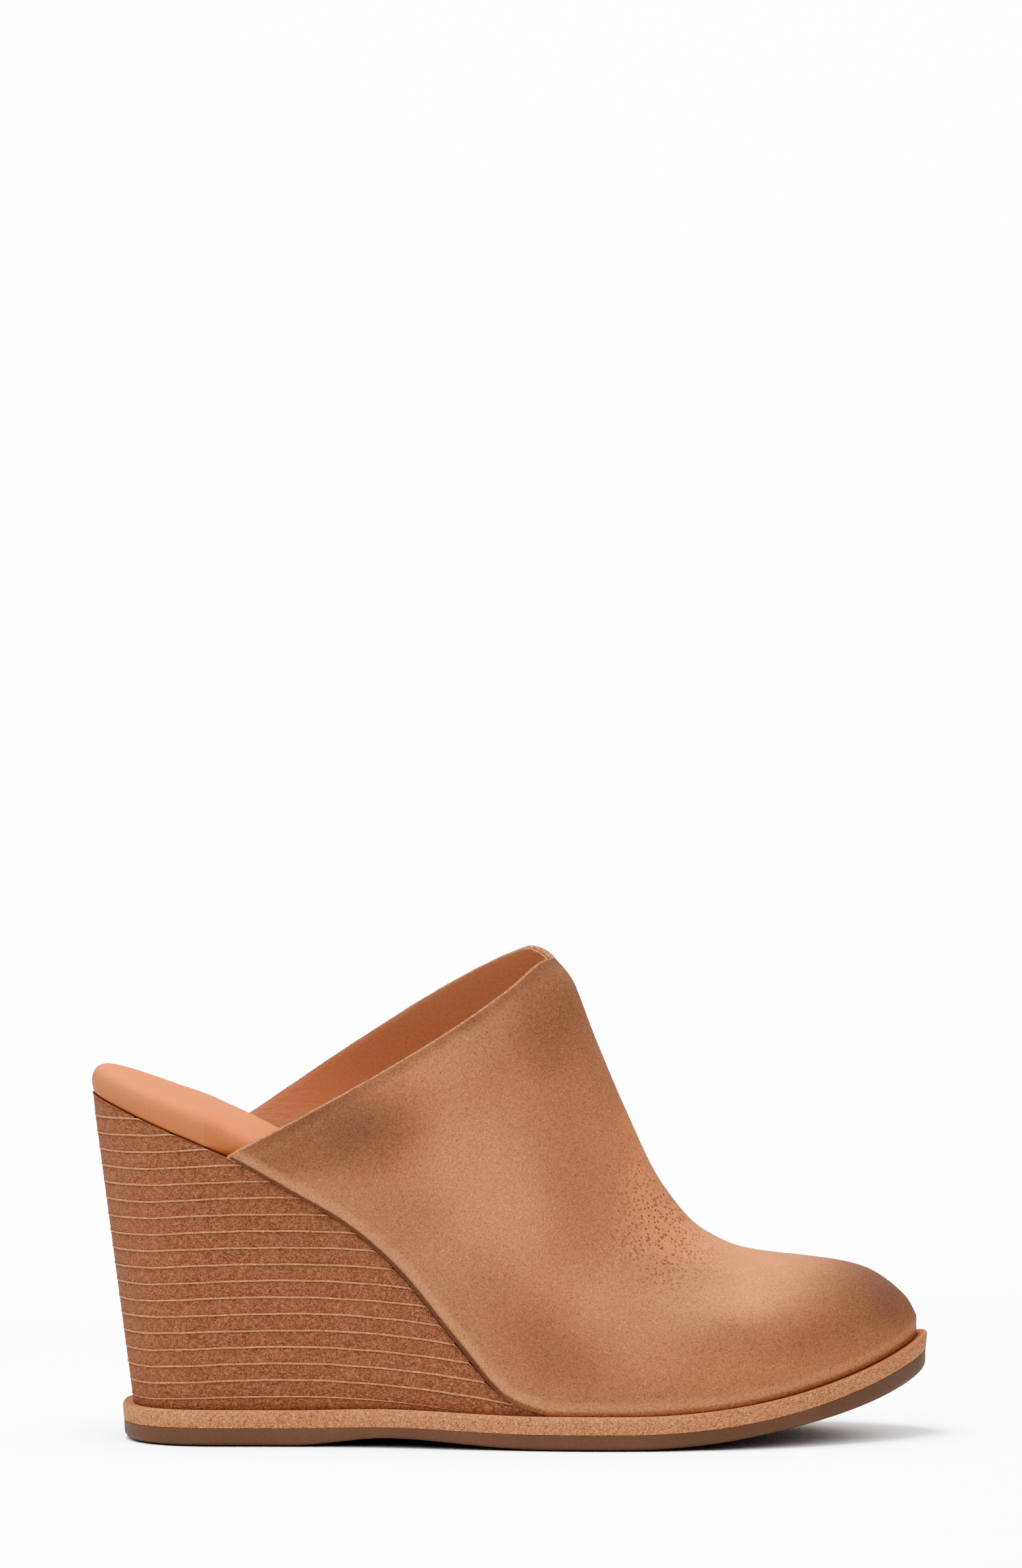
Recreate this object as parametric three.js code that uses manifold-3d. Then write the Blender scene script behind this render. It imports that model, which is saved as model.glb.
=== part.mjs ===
// A right wedge mule: a one-piece leather upper with a closed almond toe and an open back, lasted onto
// a padded insole, a wedge of stacked leather lifts, a leather midsole with a ledge all round and a thin
// rubber outsole. Millimetres, +X towards the toe, +Y towards the inner (medial) side, +Z up. The
// sections are worked out with x = 0 at the back of the seat, and the floor is at z = 0.

import * as THREE from "three";
import { mergeVertices } from "three/addons/utils/BufferGeometryUtils.js";
import Module from "manifold-3d";

const wasm = await Module();
wasm.setup();

// Lengths and heights of the whole shoe
const LAST_LENGTH = 232.4; // back of the seat to the tip of the upper's toe
const HEEL_HEIGHT = 97; // floor to the back of the seat
const INSTEP_HEIGHT = 128.7; // ledge of the midsole to the throat, where the topline is highest
const TOE_BOX_HEIGHT = 39; // ledge of the midsole to the vamp, behind the toe
const TOE_SPRING = 20.5; // rise of the sole at the toe
const ARCH_RISE = 5; // how much higher the inner edge of the seat is at the arch

// Widths
const SEAT_WIDTH = 55; // wedge and seat, across the heel
const BALL_WIDTH = 81; // upper, across the ball
const TOE_SWING = 7.2; // how far the toe's tip lies inwards of the heel's middle

// Plan of the heel and toe
const HEEL_ROUND = 26; // length over which the back of the heel rounds off
const HEEL_BLUNTNESS = 2.5;
const TOE_LENGTH = 62.4; // length over which the toe narrows
const TOE_FULLNESS = 1.6;
const TOE_ROUNDNESS = 0.59;

// Sole
const HEEL_PAD = 4.7; // outsole under the heel
const ARCH_THICKNESS = 2.9; // outsole under the arch
const ARCH_CLEARANCE = 2.4; // floor to the outsole, under the arch
const TREAD = 4.1; // outsole under the ball
const TREAD_AT_TOE = 3.4;
const SPRING_POWER = 2; // how late the toe spring bends
const SPRING_ANGLE = THREE.MathUtils.degToRad(10); // the line that it bends on, in plan
const MIDSOLE = 4.9;
const LEDGE = 3.1; // how far the midsole stands out round the wedge and the upper
const SOLE_TAPER = 0.5; // how much narrower the outsole's top is than the midsole's
const SOLE_BEVEL = 1.5; // rounding of the outsole's lower edge
const EDGE_ROUND = 0.6; // rounding of the midsole's upper edge

// Wedge of stacked lifts
const LIFT_PITCH = 4.61;
const FIRST_LIFT = 2.6; // the skived lift on the midsole
const WEDGE_LEAN = 11.5; // how far the midsole's end of the back lies forward of the seat's
const LIFT_CROWN = 1.3; // how much the lifts bow up in the middle
const LIFT_DROOP = 4.2; // how much they droop towards the ball

// Upper and insole
const WALL = 2.4; // leather and lining together
const UPPER_PROUD = 0.7; // how far the upper stands out from the wedge
const TOPLINE_START = 38.6; // back end of the topline on the outer side
const TOPLINE_SET_BACK = 1.5; // how much further back it ends on the inner side
const OUTER_DIP = 4.4; // the topline dips this far below a straight line on the outer side
const INNER_RISE = 4; // and rises this far above it on the inner side
const RIDGE_SHIFT = 3; // the instep's ridge lies this far inwards
const BELLY_LOW = 0.7; // a power below one puts the swell of the wall low down
const INSOLE = 9.5; // padded insole at the heel
const INSOLE_AT_TOE = 3; // bare insole under the toes
const INSOLE_EDGE = 5.5; // rounding of the padded insole's edge
const INSOLE_STEP = 6; // length over which the insole narrows where the upper's wall begins

const GAP = 0.3; // clearance between curved pieces

// The waist from heel to ball: how full the width is between seat width (0) and ball width (1), and how
// far the middle lies inwards, as a share of the ball width.
const WAIST = [
  { along: 0, full: 0, centre: 0 },
  { along: 0.172, full: 0, centre: 0 },
  { along: 0.267, full: 0.02, centre: -0.003 },
  { along: 0.361, full: 0.135, centre: -0.022 },
  { along: 0.447, full: 0.385, centre: -0.037 },
  { along: 0.538, full: 0.69, centre: -0.031 },
  { along: 0.624, full: 0.94, centre: -0.009 },
  { along: 0.688, full: 1, centre: 0.01 },
  { along: 0.731, full: 0.925, centre: 0.02 },
];

// The seat's side profile, as a share of the height from ledge to heel.
const SEAT = [
  { along: 0, height: 1 },
  { along: 0.086, height: 0.898 },
  { along: 0.163, height: 0.808 },
  { along: 0.232, height: 0.706 },
  { along: 0.301, height: 0.597 },
  { along: 0.366, height: 0.45 },
  { along: 0.435, height: 0.236 },
  { along: 0.503, height: 0.044 },
  { along: 0.551, height: 0 },
];

// Sections of the upper, from the topline to the toe. Each is a plane through a point of the feather
// line and a point of the ridge (both shares of the last's length). The ridge's height is a share of the
// toe box plus a share of the rest of the instep. Belly is how far the wall swells, as a share of the
// ball width, and shoulder and crown are the powers of the arch between feather line and ridge.
const SECTIONS = [
  { feather: 0, ridge: 0.5508, box: 1, cone: 1, belly: 0.043, shoulder: 3, crown: 1.8 },
  { feather: 0.115, ridge: 0.5783, box: 1, cone: 0.905, belly: 0.049, shoulder: 2.7, crown: 1.8 },
  { feather: 0.228, ridge: 0.609, box: 1, cone: 0.708, belly: 0.049, shoulder: 2.4, crown: 1.85 },
  { feather: 0.336, ridge: 0.6467, box: 1, cone: 0.476, belly: 0.043, shoulder: 2.2, crown: 1.9 },
  { feather: 0.439, ridge: 0.6906, box: 1, cone: 0.24, belly: 0.031, shoulder: 2.1, crown: 2 },
  { feather: 0.541, ridge: 0.7401, box: 0.985, cone: 0.09, belly: 0.019, shoulder: 2.1, crown: 2.1 },
  { feather: 0.644, ridge: 0.7917, box: 0.945, cone: 0.027, belly: 0.014, shoulder: 2.2, crown: 2.2 },
  { feather: 0.741, ridge: 0.8434, box: 0.88, cone: 0.007, belly: 0.014, shoulder: 2.3, crown: 2.3 },
  { feather: 0.829, ridge: 0.895, box: 0.775, cone: 0, belly: 0.012, shoulder: 2.4, crown: 2.3 },
  { feather: 0.9, ridge: 0.9402, box: 0.62, cone: 0, belly: 0.009, shoulder: 2.4, crown: 2.2 },
  { feather: 0.954, ridge: 0.9725, box: 0.425, cone: 0, belly: 0.006, shoulder: 2.3, crown: 2.1 },
  { feather: 0.984, ridge: 0.991, box: 0.265, cone: 0, belly: 0.003, shoulder: 2.2, crown: 2 },
  { feather: 1, ridge: 1, box: 0.138, cone: 0, belly: 0, shoulder: 2, crown: 2 },
];

// Rows of the sections over which the topline's own shape dies away into the vamp
const SET_BACK_ROWS = 4;
const SAG_ROWS = 6;
const RIDGE_ROWS = 7;

// The rounded lower edge of the outsole, as shares of its bevel.
const BEVEL_RINGS = [
  { inset: 1.6, rise: 0 },
  { inset: 0.6, rise: 0.5 },
  { inset: 0.2, rise: 1 },
];

// The edge of the padded insole, as shares of its rounding and of its thickness.
const PAD_RINGS = [
  { inset: 0.1, rise: 0 },
  { inset: 0, rise: 0.3 },
  { inset: 0.1, rise: 0.6 },
  { inset: 0.45, rise: 0.88 },
  { inset: 1, rise: 1 },
];

// How finely the surfaces are cut
const HEEL_STEPS = 6;
const WAIST_STEPS = 20;
const TOE_STEPS = 9;
const SOLE_COLUMNS = 2;
const INSOLE_COLUMNS = 6;
const SEAT_COLUMNS = 6;
const ROWS_PER_SECTION = 3;
const SIDE_COLUMNS = 12;
const SEAT_STEPS = 36;
const LIFT_STEPS = 10;

// Places along the shoe that several pieces follow
const along = (share) => share * LAST_LENGTH;
const jointHeel = along(0.075); // where the lifts are level
const jointCrest = along(0.25); // where they bow up most
const jointBall = along(0.47); // where their droop is measured
const padThins = along(0.2); // the insole's padding is full up to here
const padBare = along(0.72); // and has gone here
const heelPadEnd = along(0.245);
const archMiddle = along(0.36);
const seatArchEnd = along(0.5);
const ballStart = along(0.54);
const wedgeEnd = along(0.6);
const springStart = along(0.611);
const ballEnd = along(0.66);
const toeStart = LAST_LENGTH - TOE_LENGTH;
const springEnd = along(1.02);

function clamp(value, low, high) {
  return Math.min(Math.max(value, low), high);
}

function mix(from, to, share) {
  return from + (to - from) * share;
}

// 0 before from, 1 after to, and smooth between.
function ease(value, from, to) {
  const t = clamp((value - from) / (to - from), 0, 1);
  return t * t * (3 - 2 * t);
}

// A smooth curve without overshoot through one column of a table, read at a place in its first column.
function readTable(rows, column, place, key = Object.keys(rows[0])[0]) {
  const at = clamp(place, rows[0][key], rows[rows.length - 1][key]);
  let i = 0;
  while (i < rows.length - 2 && at > rows[i + 1][key]) i += 1;
  const slope = (k) => (rows[k + 1][column] - rows[k][column]) / (rows[k + 1][key] - rows[k][key]);
  const tangent = (k) => {
    if (k === 0) return slope(0);
    if (k === rows.length - 1) return slope(k - 1);
    const before = slope(k - 1);
    const after = slope(k);
    return before * after <= 0 ? 0 : (2 * before * after) / (before + after);
  };
  const span = rows[i + 1][key] - rows[i][key];
  const t = (at - rows[i][key]) / span;
  const start = rows[i][column] * (1 + 2 * t) * (1 - t) ** 2 + tangent(i) * span * t * (1 - t) ** 2;
  const end = rows[i + 1][column] * (3 - 2 * t) * t * t - tangent(i + 1) * span * (1 - t) * t * t;
  return start + end;
}

// Plan of the shoe

function centreLine(x) {
  const ball = readTable(WAIST, "centre", x / LAST_LENGTH) * BALL_WIDTH;
  return mix(ball, TOE_SWING, clamp((x - toeStart) / TOE_LENGTH, 0, 1));
}

function halfWidth(x) {
  return mix(SEAT_WIDTH, BALL_WIDTH, readTable(WAIST, "full", x / LAST_LENGTH)) / 2;
}

// The outline's y at x, on the outer (-1) or inner (1) side, for an outline whose back end is at back.
function edgeY(x, side, back) {
  const heelShare = clamp((x - back) / HEEL_ROUND, 0, 1);
  const heel = (1 - (1 - heelShare) ** HEEL_BLUNTNESS) ** (1 / HEEL_BLUNTNESS);
  const toeShare = clamp((x - toeStart) / TOE_LENGTH, 0, 1);
  const toe = (1 - toeShare ** TOE_FULLNESS) ** TOE_ROUNDNESS;
  return centreLine(x) + side * halfWidth(x) * heel * toe;
}

// Heights of the sole, from the floor up

function outsoleBottom(x, y) {
  const arch = ease(x, heelPadEnd, archMiddle) * (1 - ease(x, archMiddle, ballStart));
  const towardsToe = x + Math.tan(SPRING_ANGLE) * y;
  const spring = Math.max(0, (towardsToe - springStart) / (springEnd - springStart));
  return ARCH_CLEARANCE * arch + TOE_SPRING * spring ** SPRING_POWER;
}

function outsoleTop(x, y) {
  const heel = 1 - ease(x, heelPadEnd, archMiddle);
  const ball = ease(x, archMiddle, ballStart);
  const toe = ease(x, ballEnd, LAST_LENGTH);
  const waist = mix(mix(ARCH_THICKNESS, HEEL_PAD, heel), TREAD, ball);
  return outsoleBottom(x, y) + mix(waist, TREAD_AT_TOE, toe);
}

function midsoleTop(x, y) {
  return outsoleTop(x, y) + GAP + MIDSOLE;
}

const ledgeHeight = midsoleTop(0, 0);

// The seat that the wedge and the midsole give the insole and the upper.
function seatHeight(x, y) {
  const rise = readTable(SEAT, "height", x / LAST_LENGTH) * (HEEL_HEIGHT - ledgeHeight);
  const arch = ease(x, 0, jointCrest) * (1 - ease(x, archMiddle, seatArchEnd));
  const inwards = clamp(y / halfWidth(x), 0, 1);
  return midsoleTop(x, y) + rise + ARCH_RISE * arch * inwards ** 2;
}

// What rests on the seat clears it by the gap, measured square to its slope.
function restHeight(x, y) {
  const slope = seatHeight(x + 0.5, y) - seatHeight(x - 0.5, y);
  return seatHeight(x, y) + GAP * Math.hypot(1, slope);
}

// Where the wedge's leaning back is at a height.
function wedgeBack(z) {
  return WEDGE_LEAN * (1 - (z - ledgeHeight) / (HEEL_HEIGHT - ledgeHeight));
}

function seatEdgeY(x, side) {
  return edgeY(x, side, wedgeBack(seatHeight(x, 0)));
}

// Solids

// Triangles are gathered as loose points, and a triangle that has closed to a line is left out.
class Skin {
  constructor() {
    this.positions = [];
  }

  triangle(a, b, c) {
    if (a.distanceTo(b) < 1e-4 || b.distanceTo(c) < 1e-4 || c.distanceTo(a) < 1e-4) return;
    for (const point of [a, b, c]) this.positions.push(point.x, point.y, point.z);
  }

  // The quad is split along its shorter diagonal.
  quad(a, b, c, d) {
    if (a.distanceTo(c) <= b.distanceTo(d)) {
      this.triangle(a, b, c);
      this.triangle(a, c, d);
    } else {
      this.triangle(a, b, d);
      this.triangle(b, c, d);
    }
  }

  grid(rows) {
    for (let i = 0; i + 1 < rows.length; i += 1) {
      for (let j = 0; j + 1 < rows[i].length; j += 1) {
        this.quad(rows[i][j], rows[i][j + 1], rows[i + 1][j + 1], rows[i + 1][j]);
      }
    }
  }

  solid() {
    const loose = new THREE.BufferGeometry();
    loose.setAttribute("position", new THREE.Float32BufferAttribute(this.positions, 3));
    const merged = mergeVertices(loose, 1e-4);
    const vertProperties = merged.attributes.position.array;
    const triVerts = new Uint32Array(merged.index.array);
    const made = new wasm.Manifold(new wasm.Mesh({ numProp: 3, vertProperties, triVerts }));
    if (made.volume() > 0) return made;
    const turned = triVerts.map((_, i) => triVerts[i - (i % 3) + (2 - (i % 3))]);
    return new wasm.Manifold(new wasm.Mesh({ numProp: 3, vertProperties, triVerts: turned }));
  }
}

function geometryOf(solid) {
  const mesh = solid.getMesh();
  const geometry = new THREE.BufferGeometry();
  const positions = new Float32Array(mesh.numVert * 3);
  for (let i = 0; i < mesh.numVert; i += 1) {
    positions.set(mesh.vertProperties.subarray(i * mesh.numProp, i * mesh.numProp + 3), i * 3);
  }
  geometry.setAttribute("position", new THREE.BufferAttribute(positions, 3));
  geometry.setIndex(new THREE.BufferAttribute(new Uint32Array(mesh.triVerts), 1));
  geometry.computeVertexNormals();
  return geometry;
}

// Places along an outline, closer together where the heel and the toe round off.
function stations(back) {
  const places = [];
  for (let i = 0; i < HEEL_STEPS; i += 1) places.push(back + HEEL_ROUND * (i / HEEL_STEPS) ** 2);
  for (let i = 0; i < WAIST_STEPS; i += 1) places.push(mix(back + HEEL_ROUND, toeStart, i / WAIST_STEPS));
  for (let i = TOE_STEPS; i >= 0; i -= 1) places.push(LAST_LENGTH - TOE_LENGTH * (i / TOE_STEPS) ** 2);
  return places;
}

// A closed outline, moved out along its normals by grow(x, side), as pairs of outer and inner points.
function outline(back, yAt, grow) {
  const places = stations(back);
  const last = places.length - 1;
  const loop = [
    ...places.map((x) => new THREE.Vector2(x, yAt(x, -1))),
    ...places.slice(1, last).reverse().map((x) => new THREE.Vector2(x, yAt(x, 1))),
  ];
  const moved = loop.map((point, i) => {
    const before = loop[(i + loop.length - 1) % loop.length];
    const after = loop[(i + 1) % loop.length];
    const normal = new THREE.Vector2(after.y - before.y, before.x - after.x).normalize();
    return point.clone().addScaledVector(normal, grow(point.x, i <= last ? -1 : 1));
  });
  return places.map((_, i) => ({
    outer: moved[i],
    inner: i === 0 || i === last ? moved[i] : moved[loop.length - i],
  }));
}

// A solid between rings, which are outlines with a height for each of their points. The first and the
// last ring are closed by caps that follow their own heights.
function ringSolid(rings, capColumns) {
  const skin = new Skin();
  const lift = (point, ring) => new THREE.Vector3(point.x, point.y, ring.height(point.x, point.y));
  for (let r = 0; r + 1 < rings.length; r += 1) {
    for (const side of ["outer", "inner"]) {
      const low = rings[r].points.map((pair) => lift(pair[side], rings[r]));
      const high = rings[r + 1].points.map((pair) => lift(pair[side], rings[r + 1]));
      skin.grid(side === "outer" ? [low, high] : [high, low]);
    }
  }
  const cap = (ring) => ring.points.map((pair) => {
    const across = [];
    for (let j = 0; j <= capColumns; j += 1) {
      across.push(lift(pair.outer.clone().lerp(pair.inner, j / capColumns), ring));
    }
    return across;
  });
  skin.grid(cap(rings[0]));
  skin.grid(cap(rings[rings.length - 1]).map((across) => across.reverse()));
  return skin.solid();
}

// Outsole and midsole

function soleOutline(grow) {
  return outline(WEDGE_LEAN, (x, side) => edgeY(x, side, WEDGE_LEAN), () => grow);
}

function makeOutsole() {
  const side = LEDGE - SOLE_TAPER;
  const lowerEdge = BEVEL_RINGS.map(({ inset, rise }) => ({
    points: soleOutline(side - inset * SOLE_BEVEL),
    height: (x, y) => outsoleBottom(x, y) + rise * SOLE_BEVEL,
  }));
  return ringSolid([...lowerEdge, { points: soleOutline(side), height: outsoleTop }], SOLE_COLUMNS);
}

function makeMidsole() {
  return ringSolid([
    { points: soleOutline(LEDGE - SOLE_TAPER), height: (x, y) => outsoleTop(x, y) + GAP },
    { points: soleOutline(LEDGE), height: (x, y) => midsoleTop(x, y) - EDGE_ROUND },
    { points: soleOutline(LEDGE - EDGE_ROUND), height: midsoleTop },
  ], SOLE_COLUMNS);
}

// Wedge

// The solid between two heights, over a field of places along and across.
function slab(low, high, across, places) {
  const skin = new Skin();
  const sheet = (height) => places.map((x) => across.map((y) => new THREE.Vector3(x, y, height(x, y))));
  const bottom = sheet(low);
  const top = sheet(high);
  skin.grid(top);
  skin.grid(bottom.map((row) => [...row].reverse()));
  skin.grid([bottom[0], top[0]]);
  skin.grid([top[top.length - 1], bottom[bottom.length - 1]]);
  skin.grid([top.map((row) => row[0]), bottom.map((row) => row[0])]);
  skin.grid([bottom.map((row) => row[row.length - 1]), top.map((row) => row[row.length - 1])]);
  return skin.solid();
}

// The joint above a lift: level at the heel, bowed up under the arch, drooping towards the ball.
function jointHeight(lift, x) {
  const away = x < jointCrest
    ? (jointCrest - x) / (jointCrest - jointHeel)
    : (x - jointCrest) / (jointBall - jointCrest);
  const bow = LIFT_CROWN - (x < jointCrest ? LIFT_CROWN : LIFT_DROOP) * away ** 2;
  return ledgeHeight + FIRST_LIFT + LIFT_PITCH * (lift - 1) + bow;
}

function spread(count, from, to) {
  return Array.from({ length: count + 1 }, (_, i) => mix(from, to, i / count));
}

// The wedge is carved from a blank between its leaning outlines, cut to the midsole below and to the
// seat above, and then split at the joints.
function makeWedgeLifts() {
  const low = ledgeHeight - MIDSOLE;
  const high = HEEL_HEIGHT + MIDSOLE;
  const ring = (z) => ({
    points: outline(wedgeBack(z), (x, side) => edgeY(x, side, wedgeBack(z)), () => 0),
    height: () => z,
  });
  const blank = ringSolid([ring(low), ring(high)], 1);
  const across = [-BALL_WIDTH, ...spread(SEAT_COLUMNS, 0, BALL_WIDTH / 2), BALL_WIDTH];
  const seatPlaces = spread(SEAT_STEPS, -LEDGE, wedgeEnd);
  const places = spread(LIFT_STEPS, -LEDGE, wedgeEnd);
  const carved = blank
    .intersect(slab(() => 0, seatHeight, across, seatPlaces))
    .intersect(slab((x, y) => midsoleTop(x, y) + GAP, () => 2 * HEEL_HEIGHT, across, places));
  const joints = Math.floor((HEEL_HEIGHT - ledgeHeight - FIRST_LIFT) / LIFT_PITCH);
  const lifts = [];
  for (let lift = 1; lift <= joints + 1; lift += 1) {
    const floorOf = (x) => (lift === 1 ? 0 : jointHeight(lift - 1, x) + GAP / 2);
    const roofOf = (x) => (lift > joints ? 2 * HEEL_HEIGHT : jointHeight(lift, x) - GAP / 2);
    lifts.push(largestPiece(carved.intersect(slab(floorOf, roofOf, [-BALL_WIDTH, BALL_WIDTH], places))));
  }
  return lifts;
}

// A cut can leave crumbs where two faces nearly meet: only the lift itself is kept.
function largestPiece(solid) {
  return solid.decompose().sort((a, b) => b.volume() - a.volume())[0];
}

// Insole

// Inside the upper the insole gives way to its wall, and behind the topline it reaches the seat's edge.
function insoleInset(x, side) {
  const start = side < 0 ? TOPLINE_START : TOPLINE_START - TOPLINE_SET_BACK;
  const toe = ease(x, LAST_LENGTH - TOE_LENGTH / 2, LAST_LENGTH);
  return (WALL + 2 * GAP - UPPER_PROUD) * ease(x, start - INSOLE_STEP, start) + WALL * toe;
}

function makeInsole() {
  const thickness = (x) => mix(INSOLE, INSOLE_AT_TOE, ease(x, padThins, padBare));
  const rounding = (x) => (INSOLE_EDGE * thickness(x)) / INSOLE;
  return ringSolid(PAD_RINGS.map(({ inset, rise }) => ({
    points: outline(0, seatEdgeY, (x, side) => -insoleInset(x, side) - inset * rounding(x)),
    height: (x, y) => restHeight(x, y) + rise * thickness(x),
  })), INSOLE_COLUMNS);
}

// Upper

const SECTION_ROWS = SECTIONS.map((row, i) => ({ row: i, ...row }));

// A point of the upper's outer face: section is a row of the table or between two rows, and turn goes
// from 0 on the feather line to 90 degrees on the ridge.
function upperPoint(section, turn, side) {
  const read = (column) => readTable(SECTION_ROWS, column, section, "row");
  const setBack = side > 0 ? TOPLINE_SET_BACK * (1 - ease(section, 0, SET_BACK_ROWS)) : 0;
  const footX = mix(TOPLINE_START, LAST_LENGTH, read("feather")) - setBack;
  const ridgeX = read("ridge") * LAST_LENGTH;
  const rise = Math.sin(turn);
  const half = Math.abs(seatEdgeY(footX, side) - centreLine(footX)) + UPPER_PROUD * (1 - read("feather") ** 8);
  const swell = rise ** BELLY_LOW;
  const belly = read("belly") * BALL_WIDTH * 4 * swell * (1 - swell);
  const arch = Math.max(0, 1 - rise ** read("shoulder")) ** (1 / read("crown"));
  const footY = centreLine(footX);
  const ridgeY = centreLine(ridgeX) + RIDGE_SHIFT * (1 - ease(section, 0, RIDGE_ROWS));
  const y = mix(footY, ridgeY, rise) + side * (half + belly) * arch;
  const footZ = restHeight(footX, footY + side * half);
  const ridgeHeight = TOE_BOX_HEIGHT * read("box") + (INSTEP_HEIGHT - TOE_BOX_HEIGHT) * read("cone");
  const ridgeZ = midsoleTop(ridgeX, ridgeY) + ridgeHeight;
  const lean = new THREE.Vector2(ridgeX - footX, ridgeZ - footZ);
  const sag = (side < 0 ? -OUTER_DIP : INNER_RISE) * Math.sin(2 * turn) * (1 - ease(section, 0, SAG_ROWS));
  const slope = lean.clone().normalize();
  return new THREE.Vector3(
    footX + lean.x * rise - slope.y * sag,
    y,
    footZ + lean.y * rise + slope.x * sag,
  );
}

// The outer face as rows of points, each from the outer feather line over the ridge to the inner one.
function upperRows() {
  const rows = [];
  const steps = (SECTIONS.length - 1) * ROWS_PER_SECTION;
  for (let i = 0; i <= steps; i += 1) {
    const section = i / ROWS_PER_SECTION;
    const row = [];
    for (let j = -SIDE_COLUMNS; j <= SIDE_COLUMNS; j += 1) {
      const turn = ((SIDE_COLUMNS - Math.abs(j)) / SIDE_COLUMNS) * (Math.PI / 2);
      row.push(upperPoint(section, turn, j < 0 ? -1 : 1));
    }
    rows.push(row);
  }
  return rows;
}

// The normal at a point of a grid of rows, from its neighbours.
function gridNormal(rows, i, j) {
  const row = rows[i];
  const forward = rows[Math.min(i + 1, rows.length - 1)][j].clone().sub(rows[Math.max(i - 1, 0)][j]);
  const across = row[Math.min(j + 1, row.length - 1)].clone().sub(row[Math.max(j - 1, 0)]);
  return forward.cross(across).normalize();
}

function makeUpper() {
  const outer = upperRows();
  const lastRow = outer.length - 1;
  const lastColumn = outer[0].length - 1;
  const inner = outer.map((row, i) => row.map((point, j) => {
    const normal = gridNormal(outer, i, j);
    if (i === lastRow) normal.add(gridNormal(outer, i, lastColumn - j)).setY(0).normalize();
    if (j > 0 && j < lastColumn) return point.clone().addScaledVector(normal, -WALL);
    const foot = point.clone().addScaledVector(normal.setZ(0).normalize(), -WALL);
    return foot.setZ(restHeight(foot.x, foot.y));
  }));
  const skin = new Skin();
  skin.grid(outer);
  skin.grid(inner.map((row) => [...row].reverse()));
  skin.grid([inner[0], outer[0]]);
  skin.grid([outer.map((row) => row[0]), inner.map((row) => row[0])]);
  skin.grid([inner.map((row) => row[lastColumn]), outer.map((row) => row[lastColumn])]);
  return skin.solid();
}

// The shoe

const FINISHES = {
  outsole: { color: 0x73503a, roughness: 0.7, metalness: 0 },
  midsole: { color: 0xcd9b73, roughness: 0.8, metalness: 0 },
  lift: { color: 0xa56946, roughness: 0.85, metalness: 0 },
  insole: { color: 0xe0985f, roughness: 0.5, metalness: 0 },
  upper: { color: 0xb9825a, roughness: 0.5, metalness: 0 },
};

const pieces = [
  { name: "outsole", solid: makeOutsole(), finish: FINISHES.outsole },
  { name: "midsole", solid: makeMidsole(), finish: FINISHES.midsole },
  ...makeWedgeLifts().map((solid, i) => ({
    name: `wedge_lift_${String(i + 1).padStart(2, "0")}`,
    solid,
    finish: FINISHES.lift,
  })),
  { name: "insole", solid: makeInsole(), finish: FINISHES.insole },
  { name: "upper", solid: makeUpper(), finish: FINISHES.upper },
];

const wedgeMule = new THREE.Group();
const reach = new THREE.Box3();
for (const { name, solid, finish } of pieces) {
  const mesh = new THREE.Mesh(geometryOf(solid), new THREE.MeshStandardMaterial(finish));
  mesh.name = name;
  mesh.geometry.computeBoundingBox();
  reach.union(mesh.geometry.boundingBox);
  wedgeMule.add(mesh);
}

// The origin is on the floor, under the middle of the shoe.
const middle = reach.getCenter(new THREE.Vector3());
for (const mesh of wedgeMule.children) mesh.position.set(-middle.x, -middle.y, 0);

export default wedgeMule;
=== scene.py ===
# %% [markdown]
# A wedge mule, right shoe
# This lesson dresses a wedge mule: a closed-toe upper of burnished leather that is open at the back, a
# padded footbed, a wedge of stacked leather lifts, a leather midsole and a thin rubber outsole. Every
# piece is shaped round the same last, which is the form that a shoemaker builds a shoe on, so the lesson
# first writes the last down as a few curves and then cuts each piece from those curves.

# %% Setting up
import math
import random

import bmesh
import bpy
from mathutils import Matrix, Vector, noise


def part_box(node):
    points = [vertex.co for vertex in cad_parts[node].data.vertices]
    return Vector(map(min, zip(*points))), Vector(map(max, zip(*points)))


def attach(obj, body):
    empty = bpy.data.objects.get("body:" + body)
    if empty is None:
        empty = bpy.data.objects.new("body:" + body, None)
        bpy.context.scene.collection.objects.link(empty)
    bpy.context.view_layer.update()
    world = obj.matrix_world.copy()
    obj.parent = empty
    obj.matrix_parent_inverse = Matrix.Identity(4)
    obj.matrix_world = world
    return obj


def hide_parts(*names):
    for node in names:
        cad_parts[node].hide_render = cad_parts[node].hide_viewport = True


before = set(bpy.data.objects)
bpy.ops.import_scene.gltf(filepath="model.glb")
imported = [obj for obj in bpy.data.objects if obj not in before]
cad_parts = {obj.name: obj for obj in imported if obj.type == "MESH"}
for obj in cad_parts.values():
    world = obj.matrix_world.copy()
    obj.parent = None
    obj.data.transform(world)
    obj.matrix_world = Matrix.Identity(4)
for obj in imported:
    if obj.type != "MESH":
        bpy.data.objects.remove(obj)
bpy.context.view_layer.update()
MM = 0.001

# %% [markdown]
# The last's main sizes
# On a real shoe these are the numbers on the last maker's card: length, heel height, widths and the
# thickness of each layer. They are in millimetres and measured from the back of the seat, with the floor
# at height 0. Keeping them in one place means that all the pieces meet without any fitting.

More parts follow.
